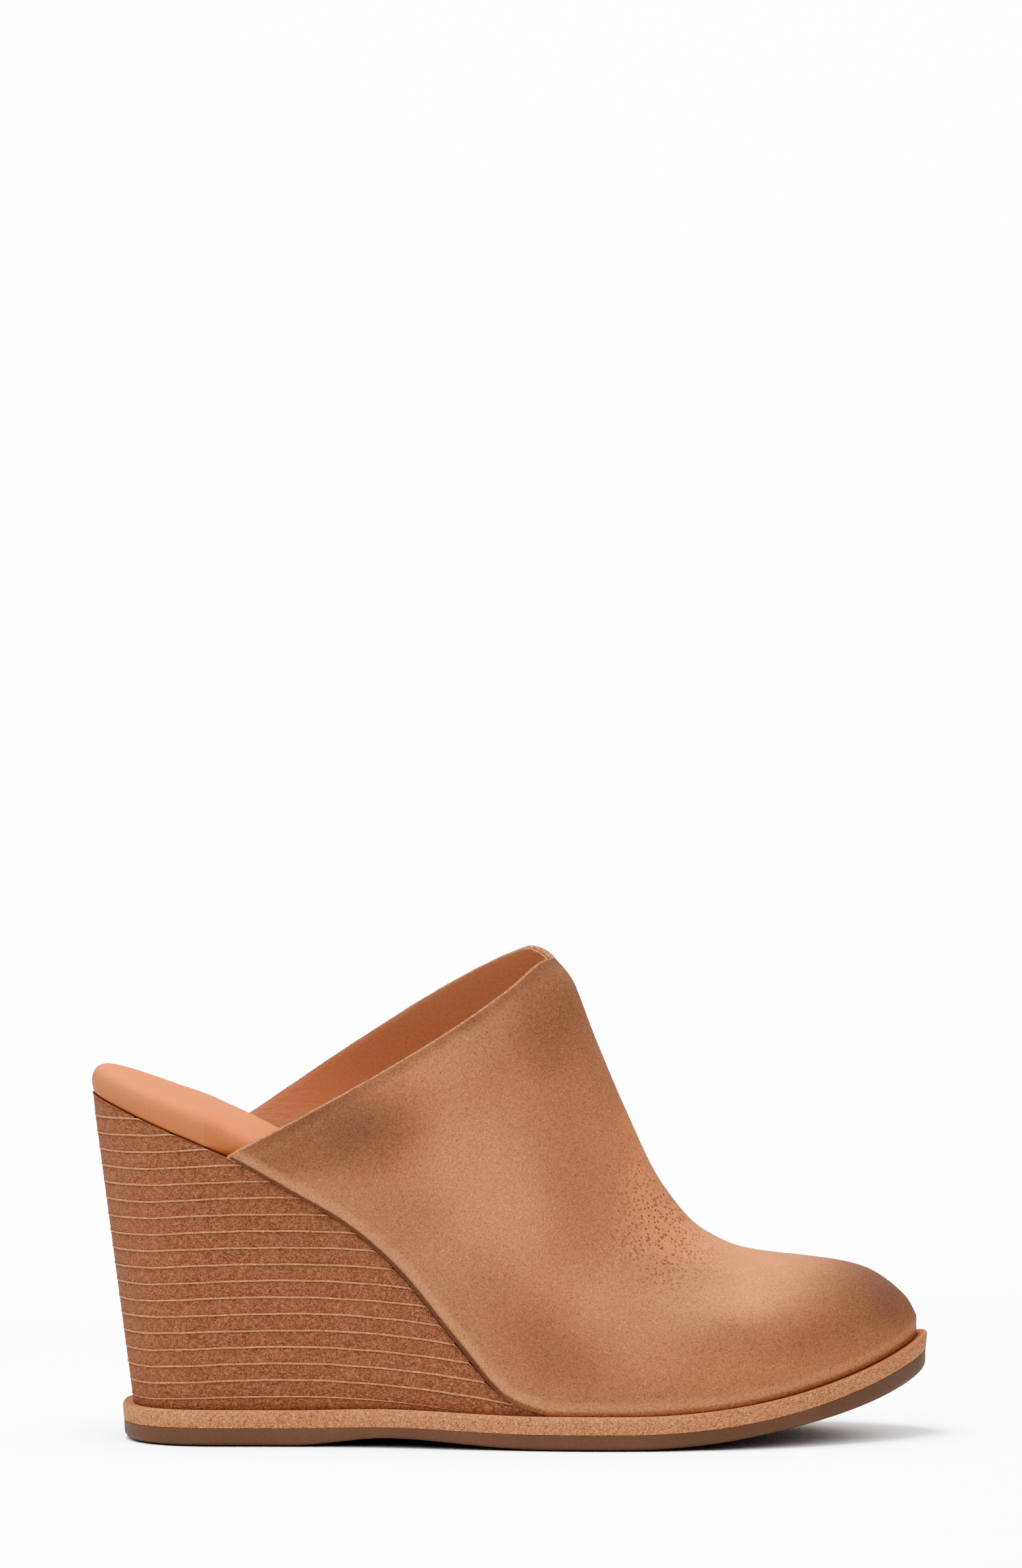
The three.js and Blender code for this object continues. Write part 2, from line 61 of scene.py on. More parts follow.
# %% Sizes of the last and of the layers
LAST_LENGTH = 232.4
HEEL_HEIGHT = 97
INSTEP_HEIGHT = 128.7
TOE_BOX_HEIGHT = 39
TOE_SPRING = 20.5
ARCH_RISE = 5
SEAT_WIDTH = 55
BALL_WIDTH = 81
TOE_SWING = 7.2
HEEL_ROUND = 26
HEEL_BLUNTNESS = 2.5
TOE_LENGTH = 62.4
TOE_FULLNESS = 1.6
TOE_ROUNDNESS = 0.59
HEEL_PAD = 4.7
ARCH_THICKNESS = 2.9
ARCH_CLEARANCE = 2.4
TREAD = 4.1
TREAD_AT_TOE = 3.4
SPRING_POWER = 2
SPRING_ANGLE = math.radians(10)
MIDSOLE = 4.9
LEDGE = 3.1
SOLE_TAPER = 0.5
LIFTS = 19
LIFT_PITCH = 4.61
FIRST_LIFT = 2.6
WEDGE_LEAN = 11.5
LIFT_CROWN = 1.3
LIFT_DROOP = 4.2
WALL = 2.4
UPPER_PROUD = 0.7
TOPLINE_START = 38.6
TOPLINE_SET_BACK = 1.5
OUTER_DIP = 4.4
INNER_RISE = 4
RIDGE_SHIFT = 3
INSOLE = 9.5
INSOLE_AT_TOE = 3
GAP = 0.3
BACK_OF_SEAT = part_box("insole")[0].x / MM
MIDDLE = -0.475

# %% [markdown]
# Curves of the last
# A last has no straight lines, so its shape is kept as short tables that a smooth curve is drawn
# through. The first table holds the plan between heel and ball, the second the seat's side profile, and
# the third the sections that the upper is wrapped over, from the slanted topline to the toe.

# %% Tables of the last
WAIST = {
    "along": (0, 0.172, 0.267, 0.361, 0.447, 0.538, 0.624, 0.688, 0.731),
    "full": (0, 0, 0.02, 0.135, 0.385, 0.69, 0.94, 1, 0.925),
    "centre": (0, 0, -0.003, -0.022, -0.037, -0.031, -0.009, 0.01, 0.02),
}
SEAT = {
    "along": (0, 0.086, 0.163, 0.232, 0.301, 0.366, 0.435, 0.503, 0.551),
    "height": (1, 0.898, 0.808, 0.706, 0.597, 0.45, 0.236, 0.044, 0),
}
SECTIONS = {
    "row": tuple(range(13)),
    "feather": (0, 0.115, 0.228, 0.336, 0.439, 0.541, 0.644, 0.741, 0.829, 0.9, 0.954, 0.984, 1),
    "ridge": (0.5508, 0.5783, 0.609, 0.6467, 0.6906, 0.7401, 0.7917, 0.8434, 0.895, 0.9402, 0.9725, 0.991, 1),
    "box": (1, 1, 1, 1, 1, 0.985, 0.945, 0.88, 0.775, 0.62, 0.425, 0.265, 0.138),
    "cone": (1, 0.905, 0.708, 0.476, 0.24, 0.09, 0.027, 0.007, 0, 0, 0, 0, 0),
    "belly": (0.043, 0.049, 0.049, 0.043, 0.031, 0.019, 0.014, 0.014, 0.012, 0.009, 0.006, 0.003, 0),
    "shoulder": (3, 2.7, 2.4, 2.2, 2.1, 2.1, 2.2, 2.3, 2.4, 2.4, 2.3, 2.2, 2),
    "crown": (1.8, 1.8, 1.85, 1.9, 2, 2.1, 2.2, 2.3, 2.3, 2.2, 2.1, 2, 2),
}


def clamp(value, low, high):
    return min(max(value, low), high)


def mix(start, end, share):
    return start + (end - start) * share


def ease(value, start, end):
    t = clamp((value - start) / (end - start), 0, 1)
    return t * t * (3 - 2 * t)


def read_table(table, column, place):
    """A smooth curve without overshoot through a column, read at a place in the table's first column."""
    keys, values = next(iter(table.values())), table[column]
    last = len(keys) - 1
    at = clamp(place, keys[0], keys[last])
    i = 0
    while i < last - 1 and at > keys[i + 1]:
        i += 1

    def slope(k):
        return (values[k + 1] - values[k]) / (keys[k + 1] - keys[k])

    def tangent(k):
        if k == 0:
            return slope(0)
        if k == last:
            return slope(last - 1)
        before, after = slope(k - 1), slope(k)
        return 0 if before * after <= 0 else 2 * before * after / (before + after)

    span = keys[i + 1] - keys[i]
    t = (at - keys[i]) / span
    start = values[i] * (1 + 2 * t) * (1 - t) ** 2 + tangent(i) * span * t * (1 - t) ** 2
    end = values[i + 1] * (3 - 2 * t) * t * t - tangent(i + 1) * span * (1 - t) * t * t
    return start + end


print("seat half way along:", round(read_table(SEAT, "height", 0.3), 3), "of its height")

# %% [markdown]
# Plan and heights of the sole
# Seen from above, the shoe runs from a blunt heel through a narrow waist to a full ball and an almond
# toe that swings inwards. Seen from the side, the sole lifts under the arch and springs up at the toe.
# These functions give the edge and the height of every layer at any place, so that a flat slab can be
# bent to them later, as a maker bends a cut sole on to the last.

# %% Plan of the shoe
TOE_START = LAST_LENGTH - TOE_LENGTH


def centre_line(x):
    ball = read_table(WAIST, "centre", x / LAST_LENGTH) * BALL_WIDTH
    return mix(ball, TOE_SWING, clamp((x - TOE_START) / TOE_LENGTH, 0, 1))


def half_width(x):
    return mix(SEAT_WIDTH, BALL_WIDTH, read_table(WAIST, "full", x / LAST_LENGTH)) / 2


def edge_y(x, side, back):
    heel_share = clamp((x - back) / HEEL_ROUND, 0, 1)
    heel = (1 - (1 - heel_share) ** HEEL_BLUNTNESS) ** (1 / HEEL_BLUNTNESS)
    toe = (1 - clamp((x - TOE_START) / TOE_LENGTH, 0, 1) ** TOE_FULLNESS) ** TOE_ROUNDNESS
    return centre_line(x) + side * half_width(x) * heel * toe


print("toe starts", round(TOE_START), "mm along and swings in by", TOE_SWING, "mm")


# %% Heights of the layers
def along(share):
    return share * LAST_LENGTH


HEEL_ENDS, ARCH_TOP, BALL_STARTS = along(0.245), along(0.36), along(0.54)
SPRING_STARTS, SPRING_ENDS = along(0.611), along(1.02)
THIN_FROM = along(0.66)
SEAT_ARCH_FULL, SEAT_ARCH_ENDS = along(0.25), along(0.5)


def outsole_bottom(x, y):
    arch = ease(x, HEEL_ENDS, ARCH_TOP) * (1 - ease(x, ARCH_TOP, BALL_STARTS))
    towards_toe = x + math.tan(SPRING_ANGLE) * y
    spring = max(0, (towards_toe - SPRING_STARTS) / (SPRING_ENDS - SPRING_STARTS))
    return ARCH_CLEARANCE * arch + TOE_SPRING * spring ** SPRING_POWER


def outsole_top(x, y):
    heel = 1 - ease(x, HEEL_ENDS, ARCH_TOP)
    ball = ease(x, ARCH_TOP, BALL_STARTS)
    waist = mix(mix(ARCH_THICKNESS, HEEL_PAD, heel), TREAD, ball)
    return outsole_bottom(x, y) + mix(waist, TREAD_AT_TOE, ease(x, THIN_FROM, LAST_LENGTH))


def midsole_top(x, y):
    return outsole_top(x, y) + GAP + MIDSOLE


LEDGE_HEIGHT = midsole_top(0, 0)


def seat_height(x, y):
    rise = read_table(SEAT, "height", x / LAST_LENGTH) * (HEEL_HEIGHT - LEDGE_HEIGHT)
    arch = ease(x, 0, SEAT_ARCH_FULL) * (1 - ease(x, ARCH_TOP, SEAT_ARCH_ENDS))
    return midsole_top(x, y) + rise + ARCH_RISE * arch * clamp(y / half_width(x), 0, 1) ** 2


def rest_height(x, y):
    slope = seat_height(x + 0.5, y) - seat_height(x - 0.5, y)
    return seat_height(x, y) + GAP * math.hypot(1, slope)


def wedge_back(z):
    return WEDGE_LEAN * (1 - (z - LEDGE_HEIGHT) / (HEEL_HEIGHT - LEDGE_HEIGHT))


def seat_edge_y(x, side):
    return edge_y(x, side, wedge_back(seat_height(x, 0)))


def in_frame(x, y, z):
    """From the last's millimetres to metres in the shoe's frame."""
    return Vector(((x + BACK_OF_SEAT) * MM, (y + MIDDLE) * MM, z * MM))


def on_last(point):
    return point.x / MM - BACK_OF_SEAT, point.y / MM - MIDDLE, point.z / MM


print("ledge at", round(LEDGE_HEIGHT, 1), "mm, seat at", HEEL_HEIGHT, "mm")

# %% [markdown]
# Outlines as patterns
# A shoemaker cuts each sole layer round a pattern and makes it larger or smaller by moving the knife
# in or out. An outline here is a closed loop of points, closer together where the heel and the toe
# round off, and it is moved along its own normals to stand out as a ledge or to be set in.

# %% Loops of points
HEEL_POINTS = 22
WAIST_POINTS = 44
TOE_POINTS = 26


def stations(back):
    heel = [back + HEEL_ROUND * (i / HEEL_POINTS) ** 2 for i in range(HEEL_POINTS)]
    waist = [mix(back + HEEL_ROUND, TOE_START, i / WAIST_POINTS) for i in range(WAIST_POINTS)]
    toe = [LAST_LENGTH - TOE_LENGTH * (i / TOE_POINTS) ** 2 for i in range(TOE_POINTS, -1, -1)]
    return heel + waist + toe


def grown(loop, grow):
    """The loop moved out along its normals by grow(point)."""
    moved = []
    for i, (x, y) in enumerate(loop):
        (x0, y0), (x1, y1) = loop[i - 1], loop[(i + 1) % len(loop)]
        length = math.hypot(x1 - x0, y1 - y0)
        step = grow((x, y))
        moved.append((x + step * (y1 - y0) / length, y - step * (x1 - x0) / length))
    return moved


def outline(back, y_at, grow):
    places = stations(back)
    outer = [(x, y_at(x, -1)) for x in places]
    inner = [(x, y_at(x, 1)) for x in places[1:-1]]
    return grown(outer + inner[::-1], grow)


def sole_outline(grow):
    return outline(WEDGE_LEAN, lambda x, side: edge_y(x, side, WEDGE_LEAN), lambda point: grow)


print("points round the sole:", len(sole_outline(LEDGE)))

# %% [markdown]
# Cutting a slab
# Each layer starts as a flat circle whose rim is set to the pattern. It is extruded upwards ring by
# ring, and each ring follows its own pattern, which gives rounded edges and small lips. The flat slab is
# then cut across many times, so that it has enough edges to bend, and is bent on to the last by moving
# each point to the height that the last has there. A maker does the same: a layer is cut flat and then
# bent over the last. Extruding one face again and again keeps the slab closed, with clean edges.

# %% Helpers for modelling
CUT_THRESHOLD = 0.00001


def leave_edit_mode():
    if bpy.context.object and bpy.context.object.mode == "EDIT":
        bpy.ops.object.mode_set(mode="OBJECT")


def start_clean():
    leave_edit_mode()
    bpy.ops.object.select_all(action="DESELECT")


def named(name):
    piece = bpy.context.object
    piece.name = piece.data.name = name
    return piece


def extruded_ring(piece, before, after, low, high):
    """Extrudes the selected face and moves its rim from one pattern to the next."""
    bpy.ops.mesh.extrude_region_move(TRANSFORM_OT_translate={"value": (0, 0, (high - low) * MM)})
    mesh = bmesh.from_edit_mesh(piece.data)
    face = next(f for f in mesh.faces if f.select)
    rim = list(face.verts)
    here = in_frame(*before[0], high)
    first = min(range(len(rim)), key=lambda i: (rim[i].co - here).length)
    forward = (rim[(first + 1) % len(rim)].co - in_frame(*before[1], high)).length
    backward = (rim[first - 1].co - in_frame(*before[1], high)).length
    turn = 1 if forward < backward else -1
    for i, (x, y) in enumerate(after):
        rim[(first + turn * i) % len(rim)].co = in_frame(x, y, high)
    bmesh.update_edit_mesh(piece.data)


def cut_slab(name, rings, cuts_along, cuts_across):
    """A flat slab. rings are (pattern, height) from the bottom up, and the cuts are places in mm."""
    cuts = [((x, 0), (1, 0, 0)) for x in cuts_along] + [((0, y), (0, 1, 0)) for y in cuts_across]
    start_clean()
    pattern, low = rings[0]
    bpy.ops.mesh.primitive_circle_add(vertices=len(pattern), radius=0.05, fill_type="NGON")
    piece = named(name)
    for vertex, (x, y) in zip(piece.data.vertices, pattern):
        vertex.co = in_frame(x, y, low)
    bpy.ops.object.mode_set(mode="EDIT")
    bpy.ops.mesh.select_all(action="SELECT")
    for after, high in rings[1:]:
        extruded_ring(piece, pattern, after, low, high)
        pattern, low = after, high
    for (x, y), normal in cuts:
        bpy.ops.mesh.select_all(action="SELECT")
        bpy.ops.mesh.bisect(plane_co=in_frame(x, y, 0), plane_no=normal, threshold=CUT_THRESHOLD)
    bpy.ops.mesh.select_all(action="SELECT")
    bpy.ops.mesh.normals_make_consistent(inside=False)
    leave_edit_mode()
    return piece


def bend_to(piece, height):
    """Moves every point to the height that height(x, y, z) gives, in the last's millimetres."""
    for vertex in piece.data.vertices:
        x, y, z = on_last(vertex.co)
        vertex.co.z = height(x, y, z) * MM
    piece.data.update()


def smooth(piece, degrees):
    start_clean()
    bpy.context.view_layer.objects.active = piece
    piece.select_set(True)
    bpy.ops.object.shade_smooth_by_angle(angle=math.radians(degrees))


def spread(start, end, step):
    count = max(1, round((end - start) / step))
    return [mix(start, end, i / count) for i in range(count + 1)]


def store(piece, name, values):
    """Keeps one number for each point, for a material to read."""
    piece.data.attributes.new(name, "FLOAT", "POINT").data.foreach_set("value", values)


def select_edges(piece, wanted):
    """Enters edit mode with the edges selected for which wanted(edge) is true."""
    bpy.ops.object.mode_set(mode="EDIT")
    bpy.ops.mesh.select_mode(type="EDGE")
    bpy.ops.mesh.select_all(action="DESELECT")
    mesh = bmesh.from_edit_mesh(piece.data)
    for edge in mesh.edges:
        edge.select = wanted(edge)
    mesh.select_flush_mode()
    bmesh.update_edit_mesh(piece.data)


def finished(piece, node):
    """Hands a piece over. Loose fibres stand for no CAD node, so theirs is None."""
    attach(piece, "root")
    if node:
        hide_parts(node)
    print(piece.name, len(piece.data.polygons), "faces")


print("20 mm in steps of about 6 mm:", [round(x, 1) for x in spread(0, 20, 6)])

# %% [markdown]
# Colours and shader groups
# Leather is never one flat colour. Three effects are shared by all the leathers here: a fine nap, the
# short fibres of a cut edge, and soft patches, where the finisher has rubbed in darker wax and, in a few
# places, where light or sheen is painted in. Each is built once as a shader group with named inputs, and
# every material then sets its own amounts.

# %% Node helpers
def srgb(red, green, blue):
    def linear(value):
        share = value / 255
        return share / 12.92 if share <= 0.04045 else ((share + 0.055) / 1.055) ** 2.4
    return linear(red), linear(green), linear(blue), 1


def add_node(tree, kind, links=None, **values):
    """A node whose sockets take values by name or number, and whose inputs are linked from links."""
    made = tree.nodes.new(kind)
    for key, value in values.items():
        if hasattr(made, key):
            setattr(made, key, value)
        else:
            made.inputs[key.replace("_", " ")].default_value = value
    for key, source in (links or {}).items():
        tree.links.new(source, made.inputs[key])
    return made


def new_group(name, inputs, outputs):
    """A shader group. An input is a number or a vector, and None is a vector that is always linked."""
    group = bpy.data.node_groups.new(name, "ShaderNodeTree")
    for label, value in inputs.items():
        kind = "NodeSocketFloat" if isinstance(value, float) else "NodeSocketVector"
        socket = group.interface.new_socket(name=label, in_out="INPUT", socket_type=kind)
        if value is not None:
            socket.default_value = value
    for label in outputs:
        group.interface.new_socket(name=label, in_out="OUTPUT", socket_type="NodeSocketFloat")
    return group, group.nodes.new("NodeGroupInput"), group.nodes.new("NodeGroupOutput")


def use_group(tree, group, links, **values):
    return add_node(tree, "ShaderNodeGroup", links, node_tree=group, **values)


def map_range(tree, value, start, end, low=0.0, high=1.0, curve="LINEAR"):
    """Turns start to end of a value into low to high, and keeps it there beyond them."""
    made = add_node(
        tree, "ShaderNodeMapRange", {"Value": value}, interpolation_type=curve,
        From_Min=start, From_Max=end, To_Min=low, To_Max=high,
    )
    return made.outputs["Result"]


def blend_colour(tree, fac, first, second, mode="MIX"):
    made = tree.nodes.new("ShaderNodeMix")
    made.data_type, made.blend_type = "RGBA", mode
    for index, value in ((0, fac), (6, first), (7, second)):
        if isinstance(value, bpy.types.NodeSocket):
            tree.links.new(value, made.inputs[index])
        else:
            made.inputs[index].default_value = value
    return made.outputs[2]


def work_out(tree, operation, first, second=None, third=None):
    made = tree.nodes.new("ShaderNodeMath")
    made.operation = operation
    for index, value in enumerate((first, second, third)):
        if isinstance(value, bpy.types.NodeSocket):
            tree.links.new(value, made.inputs[index])
        elif value is not None:
            made.inputs[index].default_value = value
    return made.outputs[0]


print("a tan in linear light:", [round(share, 3) for share in srgb(160, 100, 63)[:3]])


# %% Nap of the leather
def make_nap():
    group, start, end = new_group(
        "Leather nap", {"Vector": None, "Size": 0.7, "Pebble": 0.0}, ("Height", "Fleck", "Pits"),
    )
    place, pebbled = start.outputs["Vector"], start.outputs["Pebble"]
    scale = work_out(group, "DIVIDE", 1000, start.outputs["Size"])
    hairs = add_node(
        group, "ShaderNodeTexNoise", {"Vector": place, "Scale": scale}, Detail=2.0, Roughness=0.6, Distortion=1.6,
    )
    coarse_scale = work_out(group, "MULTIPLY", scale, 0.38)
    cells = add_node(group, "ShaderNodeTexVoronoi", {"Vector": place, "Scale": coarse_scale}, feature="F1")
    pebble = work_out(group, "MULTIPLY", map_range(group, cells.outputs["Distance"], 0.18, 0.46), pebbled)
    group.links.new(work_out(group, "ADD", hairs.outputs["Fac"], pebble), end.inputs["Height"])
    group.links.new(hairs.outputs["Fac"], end.inputs["Fleck"])
    group.links.new(work_out(group, "SUBTRACT", pebbled, pebble), end.inputs["Pits"])
    return group


NAP = make_nap()
print(NAP.name, "has", len(NAP.nodes), "nodes")


# %% Fibres of a cut edge
def make_fibres():
    group, start, end = new_group(
        "Cut fibres", {"Vector": None, "Size": 0.5, "Stretch": 3.0}, ("Height", "Fleck"),
    )
    place, stretch = start.outputs["Vector"], start.outputs["Stretch"]
    parts = add_node(group, "ShaderNodeSeparateXYZ", {"Vector": place})
    flat = work_out(group, "DIVIDE", parts.outputs["X"], stretch)
    deep = work_out(group, "DIVIDE", parts.outputs["Y"], stretch)
    joined = add_node(group, "ShaderNodeCombineXYZ", {"X": flat, "Y": deep, "Z": parts.outputs["Z"]})
    scale = work_out(group, "DIVIDE", 1000, start.outputs["Size"])
    long = add_node(
        group, "ShaderNodeTexNoise", {"Vector": joined.outputs["Vector"], "Scale": scale},
        Detail=3.0, Roughness=0.65, Distortion=0.8,
    )
    fine_scale = work_out(group, "MULTIPLY", scale, 0.8)
    fine = add_node(
        group, "ShaderNodeTexNoise", {"Vector": place, "Scale": fine_scale},
        Detail=2.0, Roughness=0.7, Distortion=2.0,
    )
    both = work_out(group, "MULTIPLY", long.outputs["Fac"], fine.outputs["Fac"])
    group.links.new(work_out(group, "MULTIPLY", both, 2.0), end.inputs["Height"])
    group.links.new(fine.outputs["Fac"], end.inputs["Fleck"])
    return group


FIBRES = make_fibres()
print(FIBRES.name, "has", len(FIBRES.nodes), "nodes")


# %% Soft patch of wax, also used for painted light
def make_patch():
    group, start, end = new_group(
        "Wax and painted light patch", {"Vector": None, "Centre": None, "Reach": (0.01, 0.01, 0.01), "Amount": 1.0}, ("Mask",),
    )

    def vectors(operation, first, second):
        return add_node(group, "ShaderNodeVectorMath", {0: first, 1: second}, operation=operation).outputs[0]

    place = start.outputs["Vector"]
    wander = add_node(group, "ShaderNodeTexNoise", {"Vector": place}, Scale=75.0, Detail=4.0)
    shift = add_node(group, "ShaderNodeVectorMath", {0: wander.outputs["Color"]}, operation="SUBTRACT")
    shift.inputs[1].default_value = (0.5, 0.5, 0.5)
    small = add_node(group, "ShaderNodeVectorMath", {0: shift.outputs[0]}, operation="SCALE", Scale=0.009)
    away = vectors("SUBTRACT", vectors("ADD", place, small.outputs[0]), start.outputs["Centre"])
    share = vectors("DIVIDE", away, start.outputs["Reach"])
    reach = add_node(group, "ShaderNodeVectorMath", {0: share}, operation="LENGTH").outputs["Value"]
    fade = map_range(group, reach, 1.7, 0.1, curve="SMOOTHSTEP")
    group.links.new(work_out(group, "MULTIPLY", fade, start.outputs["Amount"]), end.inputs["Mask"])
    return group


PATCH = make_patch()
print(PATCH.name, "has", len(PATCH.nodes), "nodes")


# %% A material and its surface
def new_material(name, **shader_values):
    material = bpy.data.materials.new(name)
    material.use_nodes = True
    tree = material.node_tree
    shader = tree.nodes["Principled BSDF"]
    for label, value in shader_values.items():
        shader.inputs[label.replace("_", " ")].default_value = value
    place = tree.nodes.new("ShaderNodeTexCoord").outputs["Object"]
    return material, tree, shader, place


def finish_surface(tree, shader, colour, height, distance, strength, roughness=None):
    """Links the colour, a bump from the height and, where it varies, the roughness."""
    bump = add_node(tree, "ShaderNodeBump", {"Height": height}, Strength=strength, Distance=distance)
    tree.links.new(colour, shader.inputs["Base Color"])
    tree.links.new(bump.outputs["Normal"], shader.inputs["Normal"])
    if roughness is not None:
        tree.links.new(roughness, shader.inputs["Roughness"])


def even_grey(tree, level):
    return add_node(tree, "ShaderNodeCombineColor", {"Red": level, "Green": level, "Blue": level}).outputs[0]


def fleck_colour(tree, base, fleck, amount):
    """Lightens and darkens a colour by the flecks of a nap or of fibres."""
    level = work_out(tree, "MULTIPLY_ADD", fleck, 1.9, -0.46)
    return blend_colour(tree, amount, base, even_grey(tree, level), "OVERLAY")


def vary(tree, place, scale, low, high):
    """A slow drift between two numbers over the surface."""
    drift = add_node(tree, "ShaderNodeTexNoise", {"Vector": place}, Scale=scale, Detail=3.0)
    return map_range(tree, drift.outputs["Fac"], 0.32, 0.68, low, high)


# %% [markdown]
# Burnished leather of the upper
# The upper is vegetable-tanned leather with a fine nap. The finisher rubs darker wax in round the
# throat, under the topline, at the back quarter and over the toe, and the colour fades to a lighter tan
# between. Here a light base takes a slow drift of tone, then one soft patch for each rubbed place, and
# last a few bright orange patches of painted highlight, for the sheen on the vamp's top and front edge.
# The two distances stored on the mesh, from the topline and from the sole, place the strips that follow
# the edges. The darkest, a thin strip right at the sole, is painted shadow for the gap where the upper
# meets the wedge and the ledge.

# %% Upper leather
DARK_PATCHES = (
    # centre x, z, reach x, z, amount: millimetres in the shoe's frame
    (-46, 87, 17, 12, 0.85),
    (-64, 80, 12, 7, 0.6),
    (-34, 90, 12, 10, 0.4),
    (11, 124, 11, 17, 0.62),
    (2, 112, 16, 12, 0.34),
    (16, 92, 12, 26, 0.26),
    (17, 62, 10, 18, 0.25),
    (-30, 64, 14, 12, 0.25),
    (-6, 40, 16, 15, 0.35),
    (14, 27, 16, 11, 0.6),
    (30, 18, 18, 8, 0.25),
    (64, 30, 26, 6, 0.3),
    (91, 33, 16, 8, 0.42),
    (103, 44, 14, 11, 0.88),
    (111, 41, 8, 9, 0.85),
)
LIGHT_PATCHES = (
    (-22, 108, 13, 9, 0.25),
    (-20, 84, 14, 10, 0.3),
    (-6, 72, 13, 13, 0.6),
    (6, 56, 11, 12, 0.5),
    (20, 40, 10, 12, 0.55),
    (38, 62, 10, 14, 0.15),
    (48, 40, 12, 9, 0.45),
    (68, 43, 13, 8, 0.8),
    (34, 26, 12, 7, 0.3),
)
# Painted highlights: bright orange patches that stand for the sheen on the vamp's top and along its front edge.
PAINTED_SHEEN_PATCHES = (
    (72, 55, 20, 7, 0.8),
    (52, 60, 12, 7, 0.5),
    (38, 78, 7, 18, 0.36),
    (66, 43, 11, 6, 0.35),
)


def stored(tree, name):
    return add_node(tree, "ShaderNodeAttribute", attribute_name=name).outputs["Fac"]


def strip(tree, distance, near, far, amount):
    """The amount up to the near distance from an edge of the upper, and nothing beyond the far one."""
    return map_range(tree, distance, far, near, 0.0, amount, "SMOOTHSTEP")


def make_upper_leather():
    material, tree, shader, place = new_material(
        "upper leather", Specular_IOR_Level=0.06, Specular_Tint=(1, 0.72, 0.5, 1), Coat_Roughness=0.4,
        Coat_Tint=(1, 0.8, 0.62, 1),
    )
    colour = blend_colour(tree, vary(tree, place, 22, 0, 1), srgb(160, 100, 63), srgb(149, 92, 57))
    # The last tint in this list, bright orange, is painted highlight for the sheen patches, not wax.
    tints = (
        (LIGHT_PATCHES, srgb(182, 112, 67)), (DARK_PATCHES, srgb(98, 61, 45)), (PAINTED_SHEEN_PATCHES, srgb(228, 130, 60)),
    )
    for table, tint in tints:
        for x, z, reach_x, reach_z, amount in table:
            patch = use_group(
                tree, PATCH, {"Vector": place}, Centre=(x * MM, -0.01, z * MM),
                Reach=(reach_x * MM, 0.09, reach_z * MM), Amount=amount,
            )
            colour = blend_colour(tree, patch.outputs["Mask"], colour, tint)
    from_topline, from_feather = stored(tree, "from_topline"), stored(tree, "from_feather")
    wax = work_out(tree, "MULTIPLY", strip(tree, from_topline, 0.8, 5, 0.75), vary(tree, place, 60, 0.4, 1))
    colour = blend_colour(tree, wax, colour, srgb(84, 54, 40))
    colour = blend_colour(tree, strip(tree, from_feather, 2.4, 5.5, 0.6), colour, srgb(180, 118, 76))
    # Painted shadow: the seam strip darkens the leather right at the sole for the shade in the gap there, more
    # over the wedge than along the ledge.
    parts = add_node(tree, "ShaderNodeSeparateXYZ", {"Vector": place})
    on_wedge = map_range(tree, parts.outputs["X"], -0.005, 0.015, 1.0, 0.35)
    seam = work_out(tree, "MULTIPLY", strip(tree, from_feather, 1.0, 1.8, 0.9), on_wedge)
    colour = blend_colour(tree, seam, colour, srgb(62, 36, 25))
    pebble_patch = use_group(
        tree, PATCH, {"Vector": place}, Centre=(0.043, -0.02, 0.062), Reach=(0.015, 0.06, 0.02), Amount=1.0,
    )
    nap = use_group(tree, NAP, {"Vector": place, "Pebble": pebble_patch.outputs["Mask"]}, Size=0.44)
    colour = blend_colour(tree, work_out(tree, "MULTIPLY", nap.outputs["Pits"], 0.95), colour, srgb(86, 45, 27))
    colour = fleck_colour(tree, colour, nap.outputs["Fleck"], 0.66)
    tree.links.new(vary(tree, place, 18, 0.0, 0.04), shader.inputs["Coat Weight"])
    finish_surface(tree, shader, colour, nap.outputs["Height"], 0.00012, 0.55, vary(tree, place, 30, 0.5, 0.66))
    return material


UPPER_LEATHER = make_upper_leather()
print("wax patches:", len(DARK_PATCHES), "dark and", len(LIGHT_PATCHES), "light")


# %% [markdown]
# The other leathers and the rubber
# The lining is smooth and a little redder, with fine wrinkles where it bends into the footbed. The
# footbed is a waxed, orange leather. Cut edges, on the topline, the lifts and the midsole, show short
# pale fibres and no shine. The midsole's ledge is sanded smooth, and the outsole is matt brown rubber
# with faint streaks from its sanding.

# %% Raw edge, lining and footbed
def make_raw_edge(name, pale, dark, size, stretch, depth, amount=0.7):
    material, tree, shader, place = new_material(name, Specular_IOR_Level=0.15, Roughness=0.9)
    fibres = use_group(tree, FIBRES, {"Vector": place}, Size=size, Stretch=stretch)
    colour = blend_colour(tree, map_range(tree, fibres.outputs["Height"], 0.3, 0.75), dark, pale)
    colour = fleck_colour(tree, colour, fibres.outputs["Fleck"], amount)
    finish_surface(tree, shader, colour, fibres.outputs["Height"], depth, 0.9)
    return material


